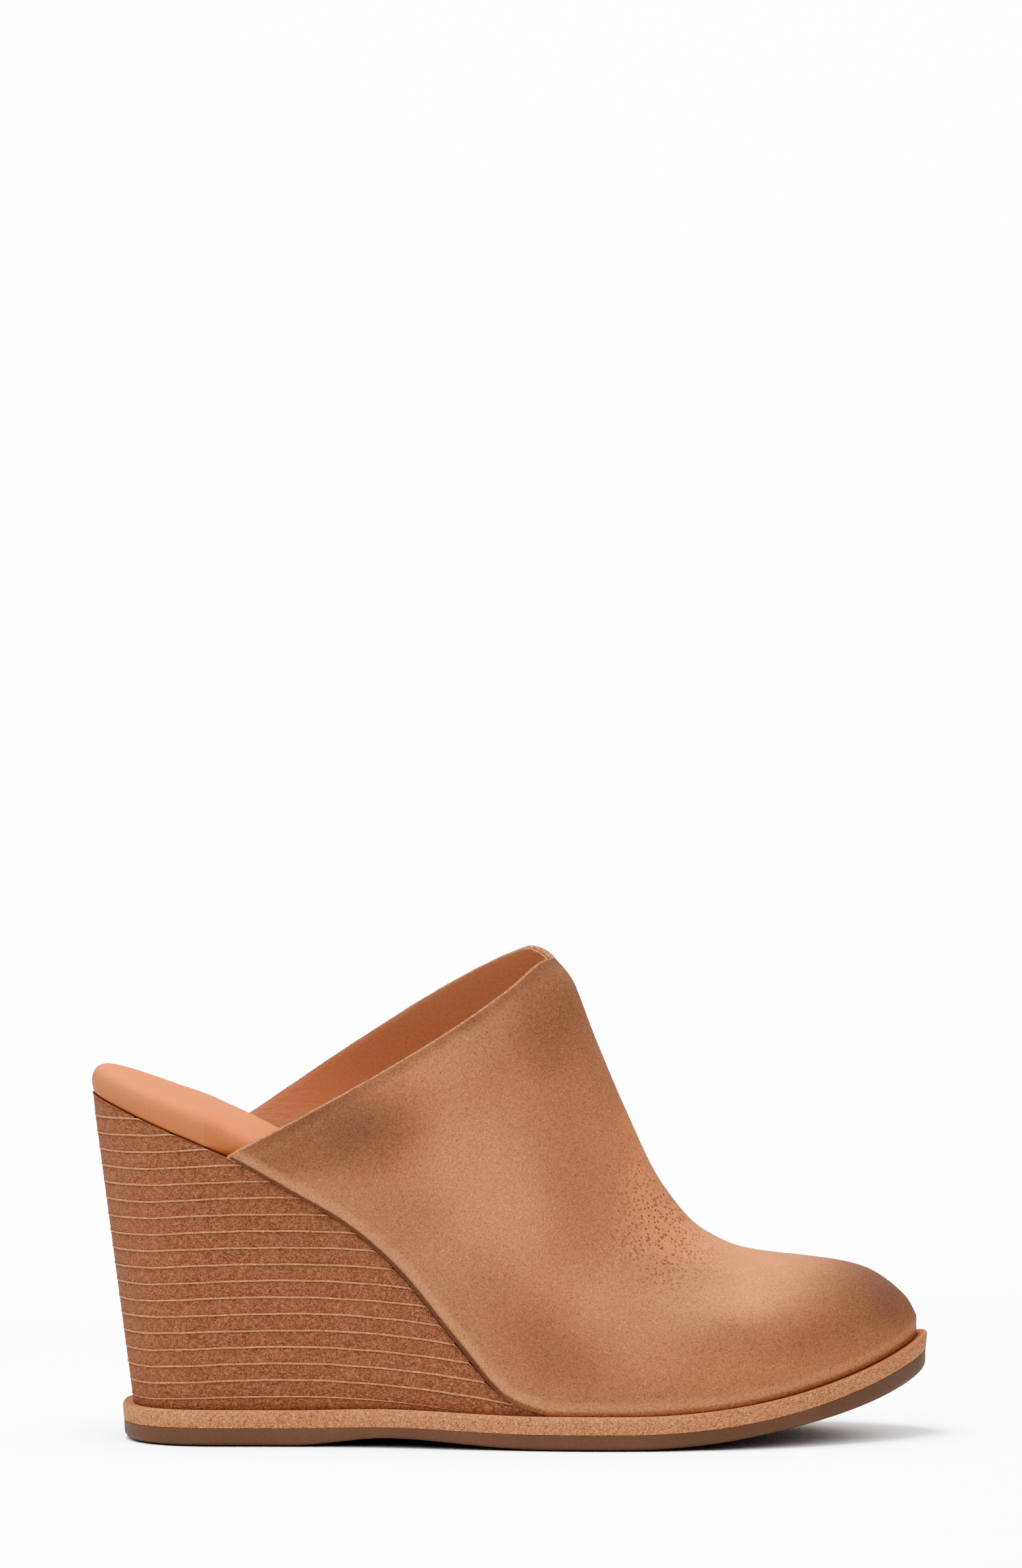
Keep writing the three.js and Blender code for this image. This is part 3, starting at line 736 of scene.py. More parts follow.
def make_lining_leather():
    material, tree, shader, place = new_material("lining leather", Specular_IOR_Level=0.15)
    base = blend_colour(tree, vary(tree, place, 14, 0, 1), srgb(162, 106, 67), srgb(152, 98, 61))
    nap = use_group(tree, NAP, {"Vector": place}, Size=0.5)
    wrinkle_place = add_node(tree, "ShaderNodeMapping", {"Vector": place}, Scale=(1.0, 1.0, 3.2))
    wrinkle_place.inputs["Rotation"].default_value = (0, math.radians(35), 0)
    wrinkles = add_node(
        tree, "ShaderNodeTexNoise", {"Vector": wrinkle_place.outputs["Vector"]},
        Scale=260.0, Detail=2.0, Distortion=0.6,
    )
    near_footbed = strip(tree, stored(tree, "from_feather"), 12, 34, 1.0)
    folds = work_out(tree, "MULTIPLY", work_out(tree, "MULTIPLY", wrinkles.outputs["Fac"], near_footbed), 3.0)
    height = work_out(tree, "ADD", nap.outputs["Height"], folds)
    colour = fleck_colour(tree, base, nap.outputs["Fleck"], 0.18)
    colour = blend_colour(tree, strip(tree, stored(tree, "from_feather"), 8, 40, 0.6), colour, srgb(180, 114, 74))
    finish_surface(tree, shader, colour, height, 0.0001, 0.5, vary(tree, place, 40, 0.42, 0.55))
    return material


def make_footbed_leather():
    material, tree, shader, place = new_material(
        "footbed leather", Specular_IOR_Level=0.03, Specular_Tint=(1, 0.75, 0.55, 1),
    )
    colour = blend_colour(tree, vary(tree, place, 25, 0, 1), srgb(242, 122, 34), srgb(232, 112, 28))
    colour = blend_colour(tree, stored(tree, "side_of_pad"), colour, srgb(172, 97, 52))
    nap = use_group(tree, NAP, {"Vector": place}, Size=0.45)
    colour = fleck_colour(tree, colour, nap.outputs["Fleck"], 0.14)
    finish_surface(tree, shader, colour, nap.outputs["Height"], 0.00006, 0.4, vary(tree, place, 35, 0.42, 0.54))
    return material


TOPLINE_EDGE = make_raw_edge("raw topline edge", srgb(208, 136, 88), srgb(112, 64, 38), 0.35, 1.6, 0.00025)
LINING_LEATHER = make_lining_leather()
FOOTBED_LEATHER = make_footbed_leather()
print("made:", [material.name for material in (TOPLINE_EDGE, LINING_LEATHER, FOOTBED_LEATHER)])


# %% Lifts, midsole and outsole
def make_lift_leather():
    material, tree, shader, place = new_material("stacked leather", Specular_IOR_Level=0.12, Roughness=0.92)
    base = blend_colour(tree, stored(tree, "lift_tone"), srgb(128, 76, 50), srgb(108, 60, 38))
    base = blend_colour(tree, vary(tree, place, 18, 0, 0.5), base, srgb(128, 79, 54))
    fibres = use_group(tree, FIBRES, {"Vector": place}, Size=0.46, Stretch=2.0)
    share = map_range(tree, fibres.outputs["Height"], 0.38, 0.66)
    streaks = blend_colour(tree, share, srgb(88, 48, 30), srgb(154, 95, 63))
    base = blend_colour(tree, 0.7, base, streaks)
    colour = fleck_colour(tree, base, fibres.outputs["Fleck"], 0.6)
    # Painted light: the back of the wedge, which faces the key light, is made a little paler.
    painted_light_on_back = use_group(
        tree, PATCH, {"Vector": place}, Centre=(-0.11, -0.01, 0.06), Reach=(0.016, 0.05, 0.06), Amount=0.12,
    )
    colour = blend_colour(tree, painted_light_on_back.outputs["Mask"], colour, srgb(156, 96, 62))
    finish_surface(tree, shader, colour, fibres.outputs["Height"], 0.0003, 0.8)
    return material


def make_ledge_leather():
    material, tree, shader, place = new_material("midsole ledge", Specular_IOR_Level=0.12, Roughness=0.6)
    base = blend_colour(tree, vary(tree, place, 30, 0, 1), srgb(170, 97, 58), srgb(158, 86, 50))
    nap = use_group(tree, NAP, {"Vector": place}, Size=0.4)
    colour = fleck_colour(tree, base, nap.outputs["Fleck"], 0.15)
    finish_surface(tree, shader, colour, nap.outputs["Height"], 0.00005, 0.4)
    return material


def make_outsole_rubber():
    material, tree, shader, place = new_material("outsole rubber", Specular_IOR_Level=0.15)
    base = blend_colour(tree, vary(tree, place, 26, 0, 1), srgb(89, 59, 40), srgb(77, 51, 34))
    streaks = use_group(tree, FIBRES, {"Vector": place}, Size=0.4, Stretch=12.0)
    colour = fleck_colour(tree, base, streaks.outputs["Fleck"], 0.22)
    roughness = vary(tree, place, 50, 0.62, 0.76)
    finish_surface(tree, shader, colour, streaks.outputs["Height"], 0.00008, 0.5, roughness)
    return material


LIFT_LEATHER = make_lift_leather()
LIFT_SEAM = make_raw_edge("lift seam", srgb(210, 142, 98), srgb(150, 92, 60), 0.35, 4.0, 0.0002, 0.5)
MIDSOLE_EDGE = make_raw_edge("midsole cut edge", srgb(228, 149, 92), srgb(138, 76, 44), 0.4, 1.5, 0.0004)
MIDSOLE_LEDGE = make_ledge_leather()
OUTSOLE_RUBBER = make_outsole_rubber()
print("materials:", len(bpy.data.materials))

# %% [markdown]
# Outsole
# The outsole is a thin sheet of rubber, thicker under the heel, with its lower edge sanded round. It is
# cut a little smaller than the midsole, so its first rings are small, the next ones grow to the side,
# and the top ring is full. Bending it to the floor's clearances gives the arch and the toe spring.

# %% Outsole
CUTS_ALONG = spread(12, 230, 4.5)
CUTS_ACROSS = spread(-36, 34, 14)
SOLE_ROUND = 1.5
TIP_DROP, TIP_FROM = 2.0, along(0.79)
OUTSOLE_GLUE = 0.8 * GAP
SOLE_ROUNDING = ((1.6, 0.0), (0.95, 0.12), (0.5, 0.38), (0.2, 0.8), (0.06, 1.3))


def make_outsole():
    side = LEDGE - SOLE_TAPER
    rings = [(sole_outline(side - inset * SOLE_ROUND), rise * SOLE_ROUND) for inset, rise in SOLE_ROUNDING]
    rings.append((sole_outline(side), TREAD))
    piece = cut_slab("outsole_rubber", rings, CUTS_ALONG, CUTS_ACROSS)

    def height(x, y, z):
        bottom = outsole_bottom(x, y) - TIP_DROP * ease(x, TIP_FROM, LAST_LENGTH)
        top = outsole_top(x, y) + OUTSOLE_GLUE
        rounded = SOLE_ROUND * SOLE_ROUNDING[-1][1]
        if z <= rounded:
            return bottom + z
        return mix(bottom + rounded, top, (z - rounded) / (TREAD - rounded))

    bend_to(piece, height)
    piece.data.materials.append(OUTSOLE_RUBBER)
    smooth(piece, 40)
    return piece


finished(make_outsole(), "outsole")

# %% [markdown]
# Midsole
# The midsole is a strip of thick sole leather that stands out all round as a ledge. Its side is the raw
# cut, full of fibres, and the top is sanded smooth and has a low lip left at its rim, where the sander
# doesn't reach. The rings make the lip: up the side, over the rim, and down to the ledge behind it.

# %% Midsole
MIDSOLE_RINGS = (
    # how far out from the wedge, and how high
    (LEDGE - SOLE_TAPER - 0.1, 0.0),
    (LEDGE - SOLE_TAPER + 0.08, 0.25),
    (LEDGE - 0.06, MIDSOLE - 1.1),
    (LEDGE - 0.18, MIDSOLE - 0.45),
    (LEDGE - 0.45, MIDSOLE - 0.05),
    (LEDGE - 0.85, MIDSOLE + 0.12),
    (LEDGE - 1.15, MIDSOLE - 0.05),
    (LEDGE - 1.6, MIDSOLE - 0.12),
    (-2.0, MIDSOLE - 0.12),
)
FACING_UP = 0.6


def make_midsole():
    rings = [(sole_outline(out), high) for out, high in MIDSOLE_RINGS]
    piece = cut_slab("midsole_leather", rings, CUTS_ALONG, CUTS_ACROSS)
    bend_to(piece, lambda x, y, z: outsole_top(x, y) + GAP + z)
    piece.data.materials.append(MIDSOLE_EDGE)
    piece.data.materials.append(MIDSOLE_LEDGE)
    for face in piece.data.polygons:
        face.material_index = 1 if face.normal.z > FACING_UP else 0
    smooth(piece, 50)
    return piece


finished(make_midsole(), "midsole")

# %% [markdown]
# Stacked lifts
# The wedge is a stack of leather boards, glued and then sanded together to the slope of the seat. Each
# lift is a slab with the wedge's own outline at its height, and it ends where the seat cuts it off. The
# seam above each lift is a thin pale line that stands out a little, because the sander wears the boards
# faster than the glued fibres between them. The lifts bow up in the middle and droop to the ball.

# %% One lift's pattern
LIFT_SIDE_POINTS = 30
LIFT_FRONT_POINTS = 7
SUNK_IN_MIDSOLE = 0.1
THINNEST_LIFT = 0.35
SHORTEST_LIFT = 4
HALVINGS = 30
JOINT_HEEL, JOINT_CREST, JOINT_BALL = along(0.075), along(0.25), along(0.47)


def bow(x):
    if x < JOINT_CREST:
        return LIFT_CROWN - LIFT_CROWN * ((JOINT_CREST - max(x, JOINT_HEEL)) / (JOINT_CREST - JOINT_HEEL)) ** 2
    return LIFT_CROWN - LIFT_DROOP * ((x - JOINT_CREST) / (JOINT_BALL - JOINT_CREST)) ** 2


def joint_level(lift):
    """Height of the joint above a lift before it bows. The joint below the first lift is the midsole."""
    return LEDGE_HEIGHT + FIRST_LIFT + LIFT_PITCH * (lift - 1)


def lift_floor(lift, x, y):
    ledge = midsole_top(x, y) - SUNK_IN_MIDSOLE
    return ledge if lift == 1 else max(joint_level(lift - 1) + bow(x), ledge)


def across(x, share, back):
    """From the wedge's outer edge at share 0 to its inner edge at share 1."""
    return mix(edge_y(x, -1, back), edge_y(x, 1, back), share)


def front_of(lift, share, back):
    """Where the seat comes down to the lift's lower face, on a line from heel to ball."""
    low, high = back + SHORTEST_LIFT, along(0.6)
    for _ in range(HALVINGS):
        x = (low + high) / 2
        y = across(x, share, back)
        if seat_height(x, y) - lift_floor(lift, x, y) > THINNEST_LIFT:
            low = x
        else:
            high = x
    return low


def lift_pattern(lift, level, grow):
    back = wedge_back(level)
    sides = []
    for share in (0, 1):
        end = front_of(lift, share, back)
        reach = min(HEEL_ROUND, end - back - 2)
        heel = [back + reach * (i / HEEL_POINTS) ** 2 for i in range(HEEL_POINTS)]
        rest = [mix(back + reach, end, i / LIFT_SIDE_POINTS) for i in range(LIFT_SIDE_POINTS + 1)]
        sides.append([(x, across(x, share, back)) for x in heel + rest])
    front = []
    for i in range(1, LIFT_FRONT_POINTS):
        x = front_of(lift, i / LIFT_FRONT_POINTS, back)
        front.append((x, across(x, i / LIFT_FRONT_POINTS, back)))
    nose = min(sides[0][-1][0], sides[1][-1][0])
    return grown(sides[0] + front + sides[1][:0:-1], lambda point: grow * ease(nose - point[0], -1, 4))


print("longest lift reaches", round(front_of(1, 1, WEDGE_LEAN)), "mm along the last")


# %% One lift
SEAM_STARTS = 0.893
LIFT_PROFILE = (
    # out from the wedge's side, share of the lift's height
    (-0.06, 0.0), (0.0, 0.05), (0.0, 0.35), (-0.01, 0.8),
    (-0.16, 0.87), (0.1, 0.895), (0.15, 0.945), (0.04, 0.995),
)
LIFT_CUTS_ALONG = spread(14, 130, 4)
LIFT_CUTS_ACROSS = (-14, 0, 14, 22)
LEAST_HEIGHT = 0.3
SEAT_CUT = 0.03


def unevenness(x, phase):
    """The boards are never quite flat: one long wave and one short one along the lift."""
    return 0.07 * math.sin(x * 0.11 + phase) + 0.04 * math.sin(x * 0.43 + 2 * phase)


def paint_lift(piece, lift, shade):
    """Seam faces are found while the slab is flat. Each lift is a little darker or lighter than the next."""
    piece.data.materials.append(LIFT_LEATHER)
    piece.data.materials.append(LIFT_SEAM)
    for face in piece.data.polygons:
        in_seam = face.center.z > SEAM_STARTS * MM and abs(face.normal.z) < 0.95
        face.material_index = 1 if in_seam and lift < LIFTS else 0
    store(piece, "lift_tone", [shade] * len(piece.data.vertices))


def make_lift(lift):
    floor_level = joint_level(lift - 1) if lift > 1 else LEDGE_HEIGHT
    tall = LIFT_PITCH if lift > 1 else FIRST_LIFT
    rings = [(lift_pattern(lift, floor_level + share * tall, out), share) for out, share in LIFT_PROFILE]
    longest = front_of(lift, 1, 0)
    cuts = [x for x in LIFT_CUTS_ALONG if x < longest]
    piece = cut_slab(f"wedge_lift_leather_{lift:02d}", rings, cuts, LIFT_CUTS_ACROSS)
    cast = random.Random(lift)
    phase = cast.uniform(0, 9)
    low_lift = max(0, 4 - lift) / 4
    paint_lift(piece, lift, clamp(0.35 + 0.25 * cast.uniform(-1, 1) + 0.5 * low_lift, 0, 1))

    def height(x, y, share):
        floor = lift_floor(lift, x, y)
        seat = seat_height(x, y)
        roof = seat if lift == LIFTS else max(joint_level(lift) + bow(x), floor + LEAST_HEIGHT)
        uneven = unevenness(x, phase) * share if lift > 1 else 0
        return min(mix(floor, roof, share) + uneven, seat - SEAT_CUT - 0.05 * (1 - share))

    bend_to(piece, height)
    smooth(piece, 50)
    return piece


for number in range(1, LIFTS + 1):
    finished(make_lift(number), f"wedge_lift_{number:02d}")

# %% [markdown]
# Footbed
# The footbed is a padded board in smooth leather. It is thick and soft at the heel, its side swells a
# little over the wedge and rounds into a crowned top, and inside the upper it thins out and becomes
# narrower, to make room for the upper's wall. It is cut as a slab with many rings, for a soft edge, and
# then bent down the slope of the seat. The crown fades towards the rim.

# %% Footbed
PAD_EDGE = 6.0
PAD_RINGS = (
    # how far in from the seat's edge, and how high, as shares of the edge and the thickness
    (0.16, 0.0), (0.05, 0.07), (0.0, 0.2), (-0.02, 0.36), (0.02, 0.5), (0.1, 0.63),
    (0.22, 0.75), (0.39, 0.85), (0.6, 0.925), (0.85, 0.975), (1.15, 1.0),
)
PAD_CROWN = 0.9
PAD_CUTS_ALONG = spread(4, 228, 3.2)
PAD_CUTS_ACROSS = spread(-33, 33, 4.7)


def pad_thickness(x):
    return mix(INSOLE, INSOLE_AT_TOE, ease(x, along(0.2), along(0.72)))


def pad_inset(x, side):
    start = TOPLINE_START if side < 0 else TOPLINE_START - TOPLINE_SET_BACK
    toe = ease(x, LAST_LENGTH - TOE_LENGTH / 2, LAST_LENGTH)
    return (WALL + 2 * GAP - UPPER_PROUD) * ease(x, start - 6, start) + WALL * toe


def pad_pattern(inset):
    def grow(point):
        x, y = point
        side = -1 if y < centre_line(x) else 1
        return -pad_inset(x, side) - inset * PAD_EDGE * pad_thickness(x) / INSOLE
    return outline(0, seat_edge_y, grow)


def make_footbed():
    rings = [(pad_pattern(inset), share) for inset, share in PAD_RINGS]
    piece = cut_slab("footbed_pad", rings, PAD_CUTS_ALONG, PAD_CUTS_ACROSS)

    def height(x, y, share):
        middle = centre_line(x)
        room = max(abs(seat_edge_y(clamp(x, 1, LAST_LENGTH - 1), 1) - middle), 1)
        from_rim = clamp(1 - abs(y - middle) / room, 0, 1) * ease(x, 0, 18)
        crown = PAD_CROWN * ease(from_rim, 0.1, 0.7) * (1 - ease(x, along(0.5), along(0.7)))
        swell = 1 + 0.5 * GAP / pad_thickness(x)
        return rest_height(x, y) - GAP * 0.6 + pad_thickness(x) * share * swell + crown * share

    bend_to(piece, height)
    shades = []
    for vertex in piece.data.vertices:
        x, y, z = on_last(vertex.co)
        share = (z - rest_height(x, y)) / pad_thickness(x)
        shades.append(1 - ease(share, 0.55, 0.98))
    store(piece, "side_of_pad", shades)
    piece.data.materials.append(FOOTBED_LEATHER)
    smooth(piece, 60)
    return piece


footbed = make_footbed()
finished(footbed, "insole")

# %% [markdown]
# Upper
# The upper is one piece of leather, wrapped over the last and drawn under it at the feather line. A flat
# grid is the cut leather: its rows run from the topline to the toe, and its columns go from the outer
# feather line over the instep to the inner one. Each point is moved to its place on the last, soft
# folds are pressed in at the flex and beside the throat, and Solidify gives the grid the thickness of
# the leather, with its rim as the raw cut edge.

# %% Wrapping the leather on the last
THROAT_DROP = 3.1
THROAT_FORWARD = 1.7
THROAT_FROM = {-1: 70, 1: 72}


def upper_point(section, turn, side):
    def read(column):
        return read_table(SECTIONS, column, section)

    set_back = TOPLINE_SET_BACK * (1 - ease(section, 0, 4)) if side > 0 else 0
    foot_x = mix(TOPLINE_START, LAST_LENGTH, read("feather")) - set_back
    ridge_x = read("ridge") * LAST_LENGTH
    rise = math.sin(turn)
    half = abs(seat_edge_y(foot_x, side) - centre_line(foot_x)) + UPPER_PROUD * (1 - read("feather") ** 8)
    swell = rise ** 0.7
    belly = read("belly") * BALL_WIDTH * 4 * swell * (1 - swell)
    arch = max(0, 1 - rise ** read("shoulder")) ** (1 / read("crown"))
    foot_y = centre_line(foot_x)
    ridge_y = centre_line(ridge_x) + RIDGE_SHIFT * (1 - ease(section, 0, 7))
    y = mix(foot_y, ridge_y, rise) + side * (half + belly) * arch
    foot_z = rest_height(foot_x, foot_y + side * half)
    ridge_height = TOE_BOX_HEIGHT * read("box") + (INSTEP_HEIGHT - TOE_BOX_HEIGHT) * read("cone")
    lean_x, lean_z = ridge_x - foot_x, midsole_top(ridge_x, ridge_y) + ridge_height - foot_z
    sag = (-OUTER_DIP if side < 0 else INNER_RISE) * math.sin(2 * turn) * (1 - ease(section, 0, 6))
    length = math.hypot(lean_x, lean_z)
    flat_throat = ease(math.degrees(turn), THROAT_FROM[side], 90) * (1 - ease(section, 0, 1.6))
    return in_frame(
        foot_x + lean_x * rise - lean_z / length * sag + THROAT_FORWARD * flat_throat, y,
        foot_z + lean_z * rise + lean_x / length * sag - THROAT_DROP * flat_throat,
    )


LAST_SECTION = 12


def section_at(share):
    """Rows lie further apart at the topline and closer together at the tip of the toe."""
    return LAST_SECTION * (1 - (1 - share) ** 1.35)


topline_heights = [round(on_last(upper_point(0, turn, -1))[2]) for turn in (0, math.pi / 2)]
print("topline rises from and to, in mm:", topline_heights)


# %% Soft folds in the leather
FOLDS = (
    # from x, z to x, z in the shoe's frame, how wide and how deep; plus is a ridge and minus a trough
    (27, 76, 44, 48, 3.6, -0.35),
    (34, 72, 50, 46, 3.2, 0.3),
    (40, 66, 56, 45, 3.0, -0.28),
    (-34, 96, -14, 70, 6.0, -0.3),
    (8, 118, 20, 84, 5.0, -0.35),
    (-2, 60, 24, 28, 7.0, 0.35),
    (60, 46, 92, 40, 5.0, -0.2),
)


def fold_depth(x, z):
    depth = 0
    for x0, z0, x1, z1, width, deep in FOLDS:
        span = Vector((x1 - x0, z1 - z0))
        along_fold = clamp(Vector((x - x0, z - z0)).dot(span) / span.length_squared, 0, 1)
        away = (Vector((x0, z0)) + span * along_fold - Vector((x, z))).length
        fade = math.sin(math.pi * clamp(0.12 + 0.76 * along_fold, 0, 1))
        depth += deep * fade * math.exp(-((away / width) ** 2))
    return depth


deepest = min(fold_depth(x, z) for x in range(-40, 100, 4) for z in range(20, 130, 4))
print("deepest fold:", round(deepest, 2), "mm")


# %% A sheet of leather on the last
TUCK = 0.5
UPPER_ROWS = 150
UPPER_COLUMNS = 96


def points_in_cells(piece, rows, columns):
    """The point in each row and column of a flat grid that is one unit wide."""
    return {
        (round((point.co.x + 0.5) * rows), round((point.co.y + 0.5) * columns)): point.index
        for point in piece.data.vertices
    }


def walk(places, run):
    """How far each cell of a run is from the run's first cell, in millimetres along the leather."""
    distances, so_far = {}, 0.0
    for before, cell in zip(run[:1] + run, run):
        so_far += (places[cell] - places[before]).length / MM
        distances[cell] = so_far
    return distances


def wrapped_grid(name, rows, columns, inwards):
    """A grid laid on the last and moved inwards by some millimetres, with its distances stored."""
    start_clean()
    bpy.ops.mesh.primitive_grid_add(x_subdivisions=rows, y_subdivisions=columns, size=1)
    piece = named(name)
    points = piece.data.vertices
    cells = points_in_cells(piece, rows, columns)
    for (i, j), index in cells.items():
        across_share = 2 * j / columns - 1
        turn = (1 - abs(across_share)) * math.pi / 2
        points[index].co = upper_point(section_at(i / rows), turn, -1 if across_share < 0 else 1)
    piece.data.update()
    places = {cell: points[index].co.copy() for cell, index in cells.items()}
    normals = {cell: points[index].normal.copy() for cell, index in cells.items()}
    topline, feather = {}, {}
    for j in range(columns + 1):
        topline |= walk(places, [(i, j) for i in range(rows + 1)])
    for i in range(rows + 1):
        feather |= walk(places, [(i, j) for j in range(columns // 2 + 1)])
        feather |= walk(places, [(i, j) for j in range(columns, columns // 2, -1)])
    for cell, index in cells.items():
        place = places[cell]
        fold = fold_depth(place.x / MM, place.z / MM) * ease(feather[cell], 1, 8) * ease(topline[cell], 0, 6)
        tucked = TUCK * (1 - clamp(feather[cell] / 1.2, 0, 1))
        points[index].co = place + normals[cell] * (fold - inwards) * MM - Vector((0, 0, tucked * MM))
    in_order = sorted(cells, key=cells.get)
    store(piece, "from_topline", [topline[cell] for cell in in_order])
    store(piece, "from_feather", [feather[cell] for cell in in_order])
    piece.data.update()
    return piece


# %% Thickness and raw edge
RIM = 1
MERGE_DISTANCE = 0.00002


def between_materials(edge):
    return len({face.material_index for face in edge.link_faces}) > 1


def hide_raw_edge_below(piece):
    """Only the topline shows its raw edge. Along the sole the rim takes the leather's own finish."""
    from_topline = piece.data.attributes["from_topline"].data
    for face in piece.data.polygons:
        if face.material_index == RIM and min(from_topline[i].value for i in face.vertices) > 1.2:
            face.material_index = 0


def give_thickness(piece, thickness, rounding, face_material, edge_material):
    piece.data.materials.append(face_material)
    piece.data.materials.append(edge_material)
    wall = piece.modifiers.new("Wall", "SOLIDIFY")
    wall.thickness, wall.offset = thickness * MM, -1
    wall.material_offset_rim = RIM
    bpy.ops.object.modifier_apply(modifier=wall.name)
    bpy.ops.object.mode_set(mode="EDIT")
    bpy.ops.mesh.select_all(action="SELECT")
    bpy.ops.mesh.remove_doubles(threshold=MERGE_DISTANCE)
    leave_edit_mode()
    select_edges(piece, between_materials)
    bpy.ops.mesh.bevel(offset=rounding * MM, segments=2, affect="EDGES", material=RIM)
    leave_edit_mode()
    hide_raw_edge_below(piece)
    for vertex in piece.data.vertices:
        x, y, z = on_last(vertex.co)
        vertex.co.z = max(z, rest_height(x, y) - TUCK) * MM


RUFFLE_SEED = 5
RUFFLE_REACH = 0.6
COARSE, FINE = 900, 2600


def ruffle(piece, amount):
    """Roughens the topline's raw edge. Without a seed this noise would take one from the clock."""
    noise.seed_set(RUFFLE_SEED)
    near = piece.data.attributes["from_topline"].data
    for vertex in piece.data.vertices:
        share = 1 - clamp(near[vertex.index].value / RUFFLE_REACH, 0, 1)
        if share > 0:
            push = noise.noise_vector(vertex.co * COARSE) + noise.noise_vector(vertex.co * FINE) * 0.6
            vertex.co += push * amount * MM * share


LEATHER = 1.55
upper = wrapped_grid("upper_leather", UPPER_ROWS, UPPER_COLUMNS, 0)
give_thickness(upper, LEATHER, 0.42, UPPER_LEATHER, TOPLINE_EDGE)
ruffle(upper, 0.16)
smooth(upper, 50)
finished(upper, "upper")

# %% [markdown]
# Lining
# A thin lining is glued to the leather's flesh side, so the edge shows as two plies with a dark line of
# glue between them. It is the same grid, moved inwards by the thickness of the leather, which is the
# quickest way to make two skins that can't cross.

# %% Lining
LINING = 0.65
LINING_GLUE = 0.12
LINING_COLUMNS = 64
lining = wrapped_grid("upper_lining", UPPER_ROWS, LINING_COLUMNS, LEATHER + LINING_GLUE)
give_thickness(lining, LINING, 0.12, LINING_LEATHER, TOPLINE_EDGE)
ruffle(lining, 0.1)
smooth(lining, 50)
finished(lining, "upper")

# %% [markdown]
# Loose fibres on the topline
# A raw cut edge of leather frays. One hair is modelled as a thin three-sided cone, bent, and
# copied along the edge with its own length and lean each time. There are few and they are short, because
# a real edge is trimmed and burnished.

# %% Loose fibres
FIBRE_COUNT = 420
FIBRE_ROOT, FIBRE_TIP, FIBRE_BEND = 0.035, 0.012, 0.22


def one_fibre():
    """One hair, a millimetre long, that stands on its root and bends to the side."""
    start_clean()
    bpy.ops.mesh.primitive_cone_add(vertices=3, radius1=FIBRE_ROOT * MM, radius2=FIBRE_TIP * MM, depth=MM)
    fibre = named("fibre")
    bpy.ops.object.mode_set(mode="EDIT")
    bpy.ops.mesh.select_all(action="SELECT")
    bpy.ops.mesh.bisect(plane_co=(0, 0, 0), plane_no=(0, 0, 1), threshold=0.000001)
    bpy.ops.mesh.select_all(action="SELECT")
    bpy.ops.transform.translate(value=(0, 0, 0.5 * MM))
    leave_edit_mode()
    for vertex in fibre.data.vertices:
        vertex.co.x += FIBRE_BEND * MM * (vertex.co.z / MM) ** 2
    return fibre


def make_fibres_on_edge():
    fibre = one_fibre()
    cast = random.Random(5)
    gathered = bmesh.new()
    for _ in range(FIBRE_COUNT):
        side = cast.choice((-1, 1))
        turn = cast.uniform(0.02, 1) * math.pi / 2
        root = upper_point(0, turn, side)
        beyond = upper_point(0.25, turn, side)
        back = (root - beyond).normalized()
        inwards = Vector((0, -side, 0)) * cast.uniform(0.2, 2.0) * MM
        lean = Vector((cast.uniform(-1, 1), cast.uniform(-1, 1), cast.uniform(-0.6, 1))) * 0.9
        heading = (back + lean).normalized().to_track_quat("Z", "X").to_matrix().to_4x4()
        size = cast.uniform(0.35, 1.0) ** 2 * 1.1 + 0.15
        place = Matrix.Translation(root + inwards - back * 0.1 * MM)
        hair = fibre.data.copy()
        hair.transform(place @ Matrix.Scale(size, 4) @ heading)
        gathered.from_mesh(hair)
        bpy.data.meshes.remove(hair)
    gathered.to_mesh(fibre.data)
    gathered.free()
    fibre.name = fibre.data.name = "topline_fibres"
    fibre.data.materials.append(TOPLINE_EDGE)
    return fibre


finished(make_fibres_on_edge(), None)

# %% [markdown]
# Floor, light and camera
# The photograph is a plain studio picture: a white sweep, a large soft light from above and a weaker one
# from the left, and a long lens. The sweep is one sheet that curves up behind the shoe, so that no
# horizon shows. A Light Path node makes it and the world brighter for the camera alone, and Ambient
# Occlusion leaves a soft shadow where the shoe touches it. Both nodes are used on this stage and on no
# piece of the shoe. The camera stands two metres away and 0.22 m above the floor, and looks down by
# about one degree.

# %% Floor
PAPER_SIZE, PAPER_RISE, PAPER_BEND = 8, 5, 2.5
UNDER_THE_SHOE = -0.0003
SHADOW_REACH = 0.05


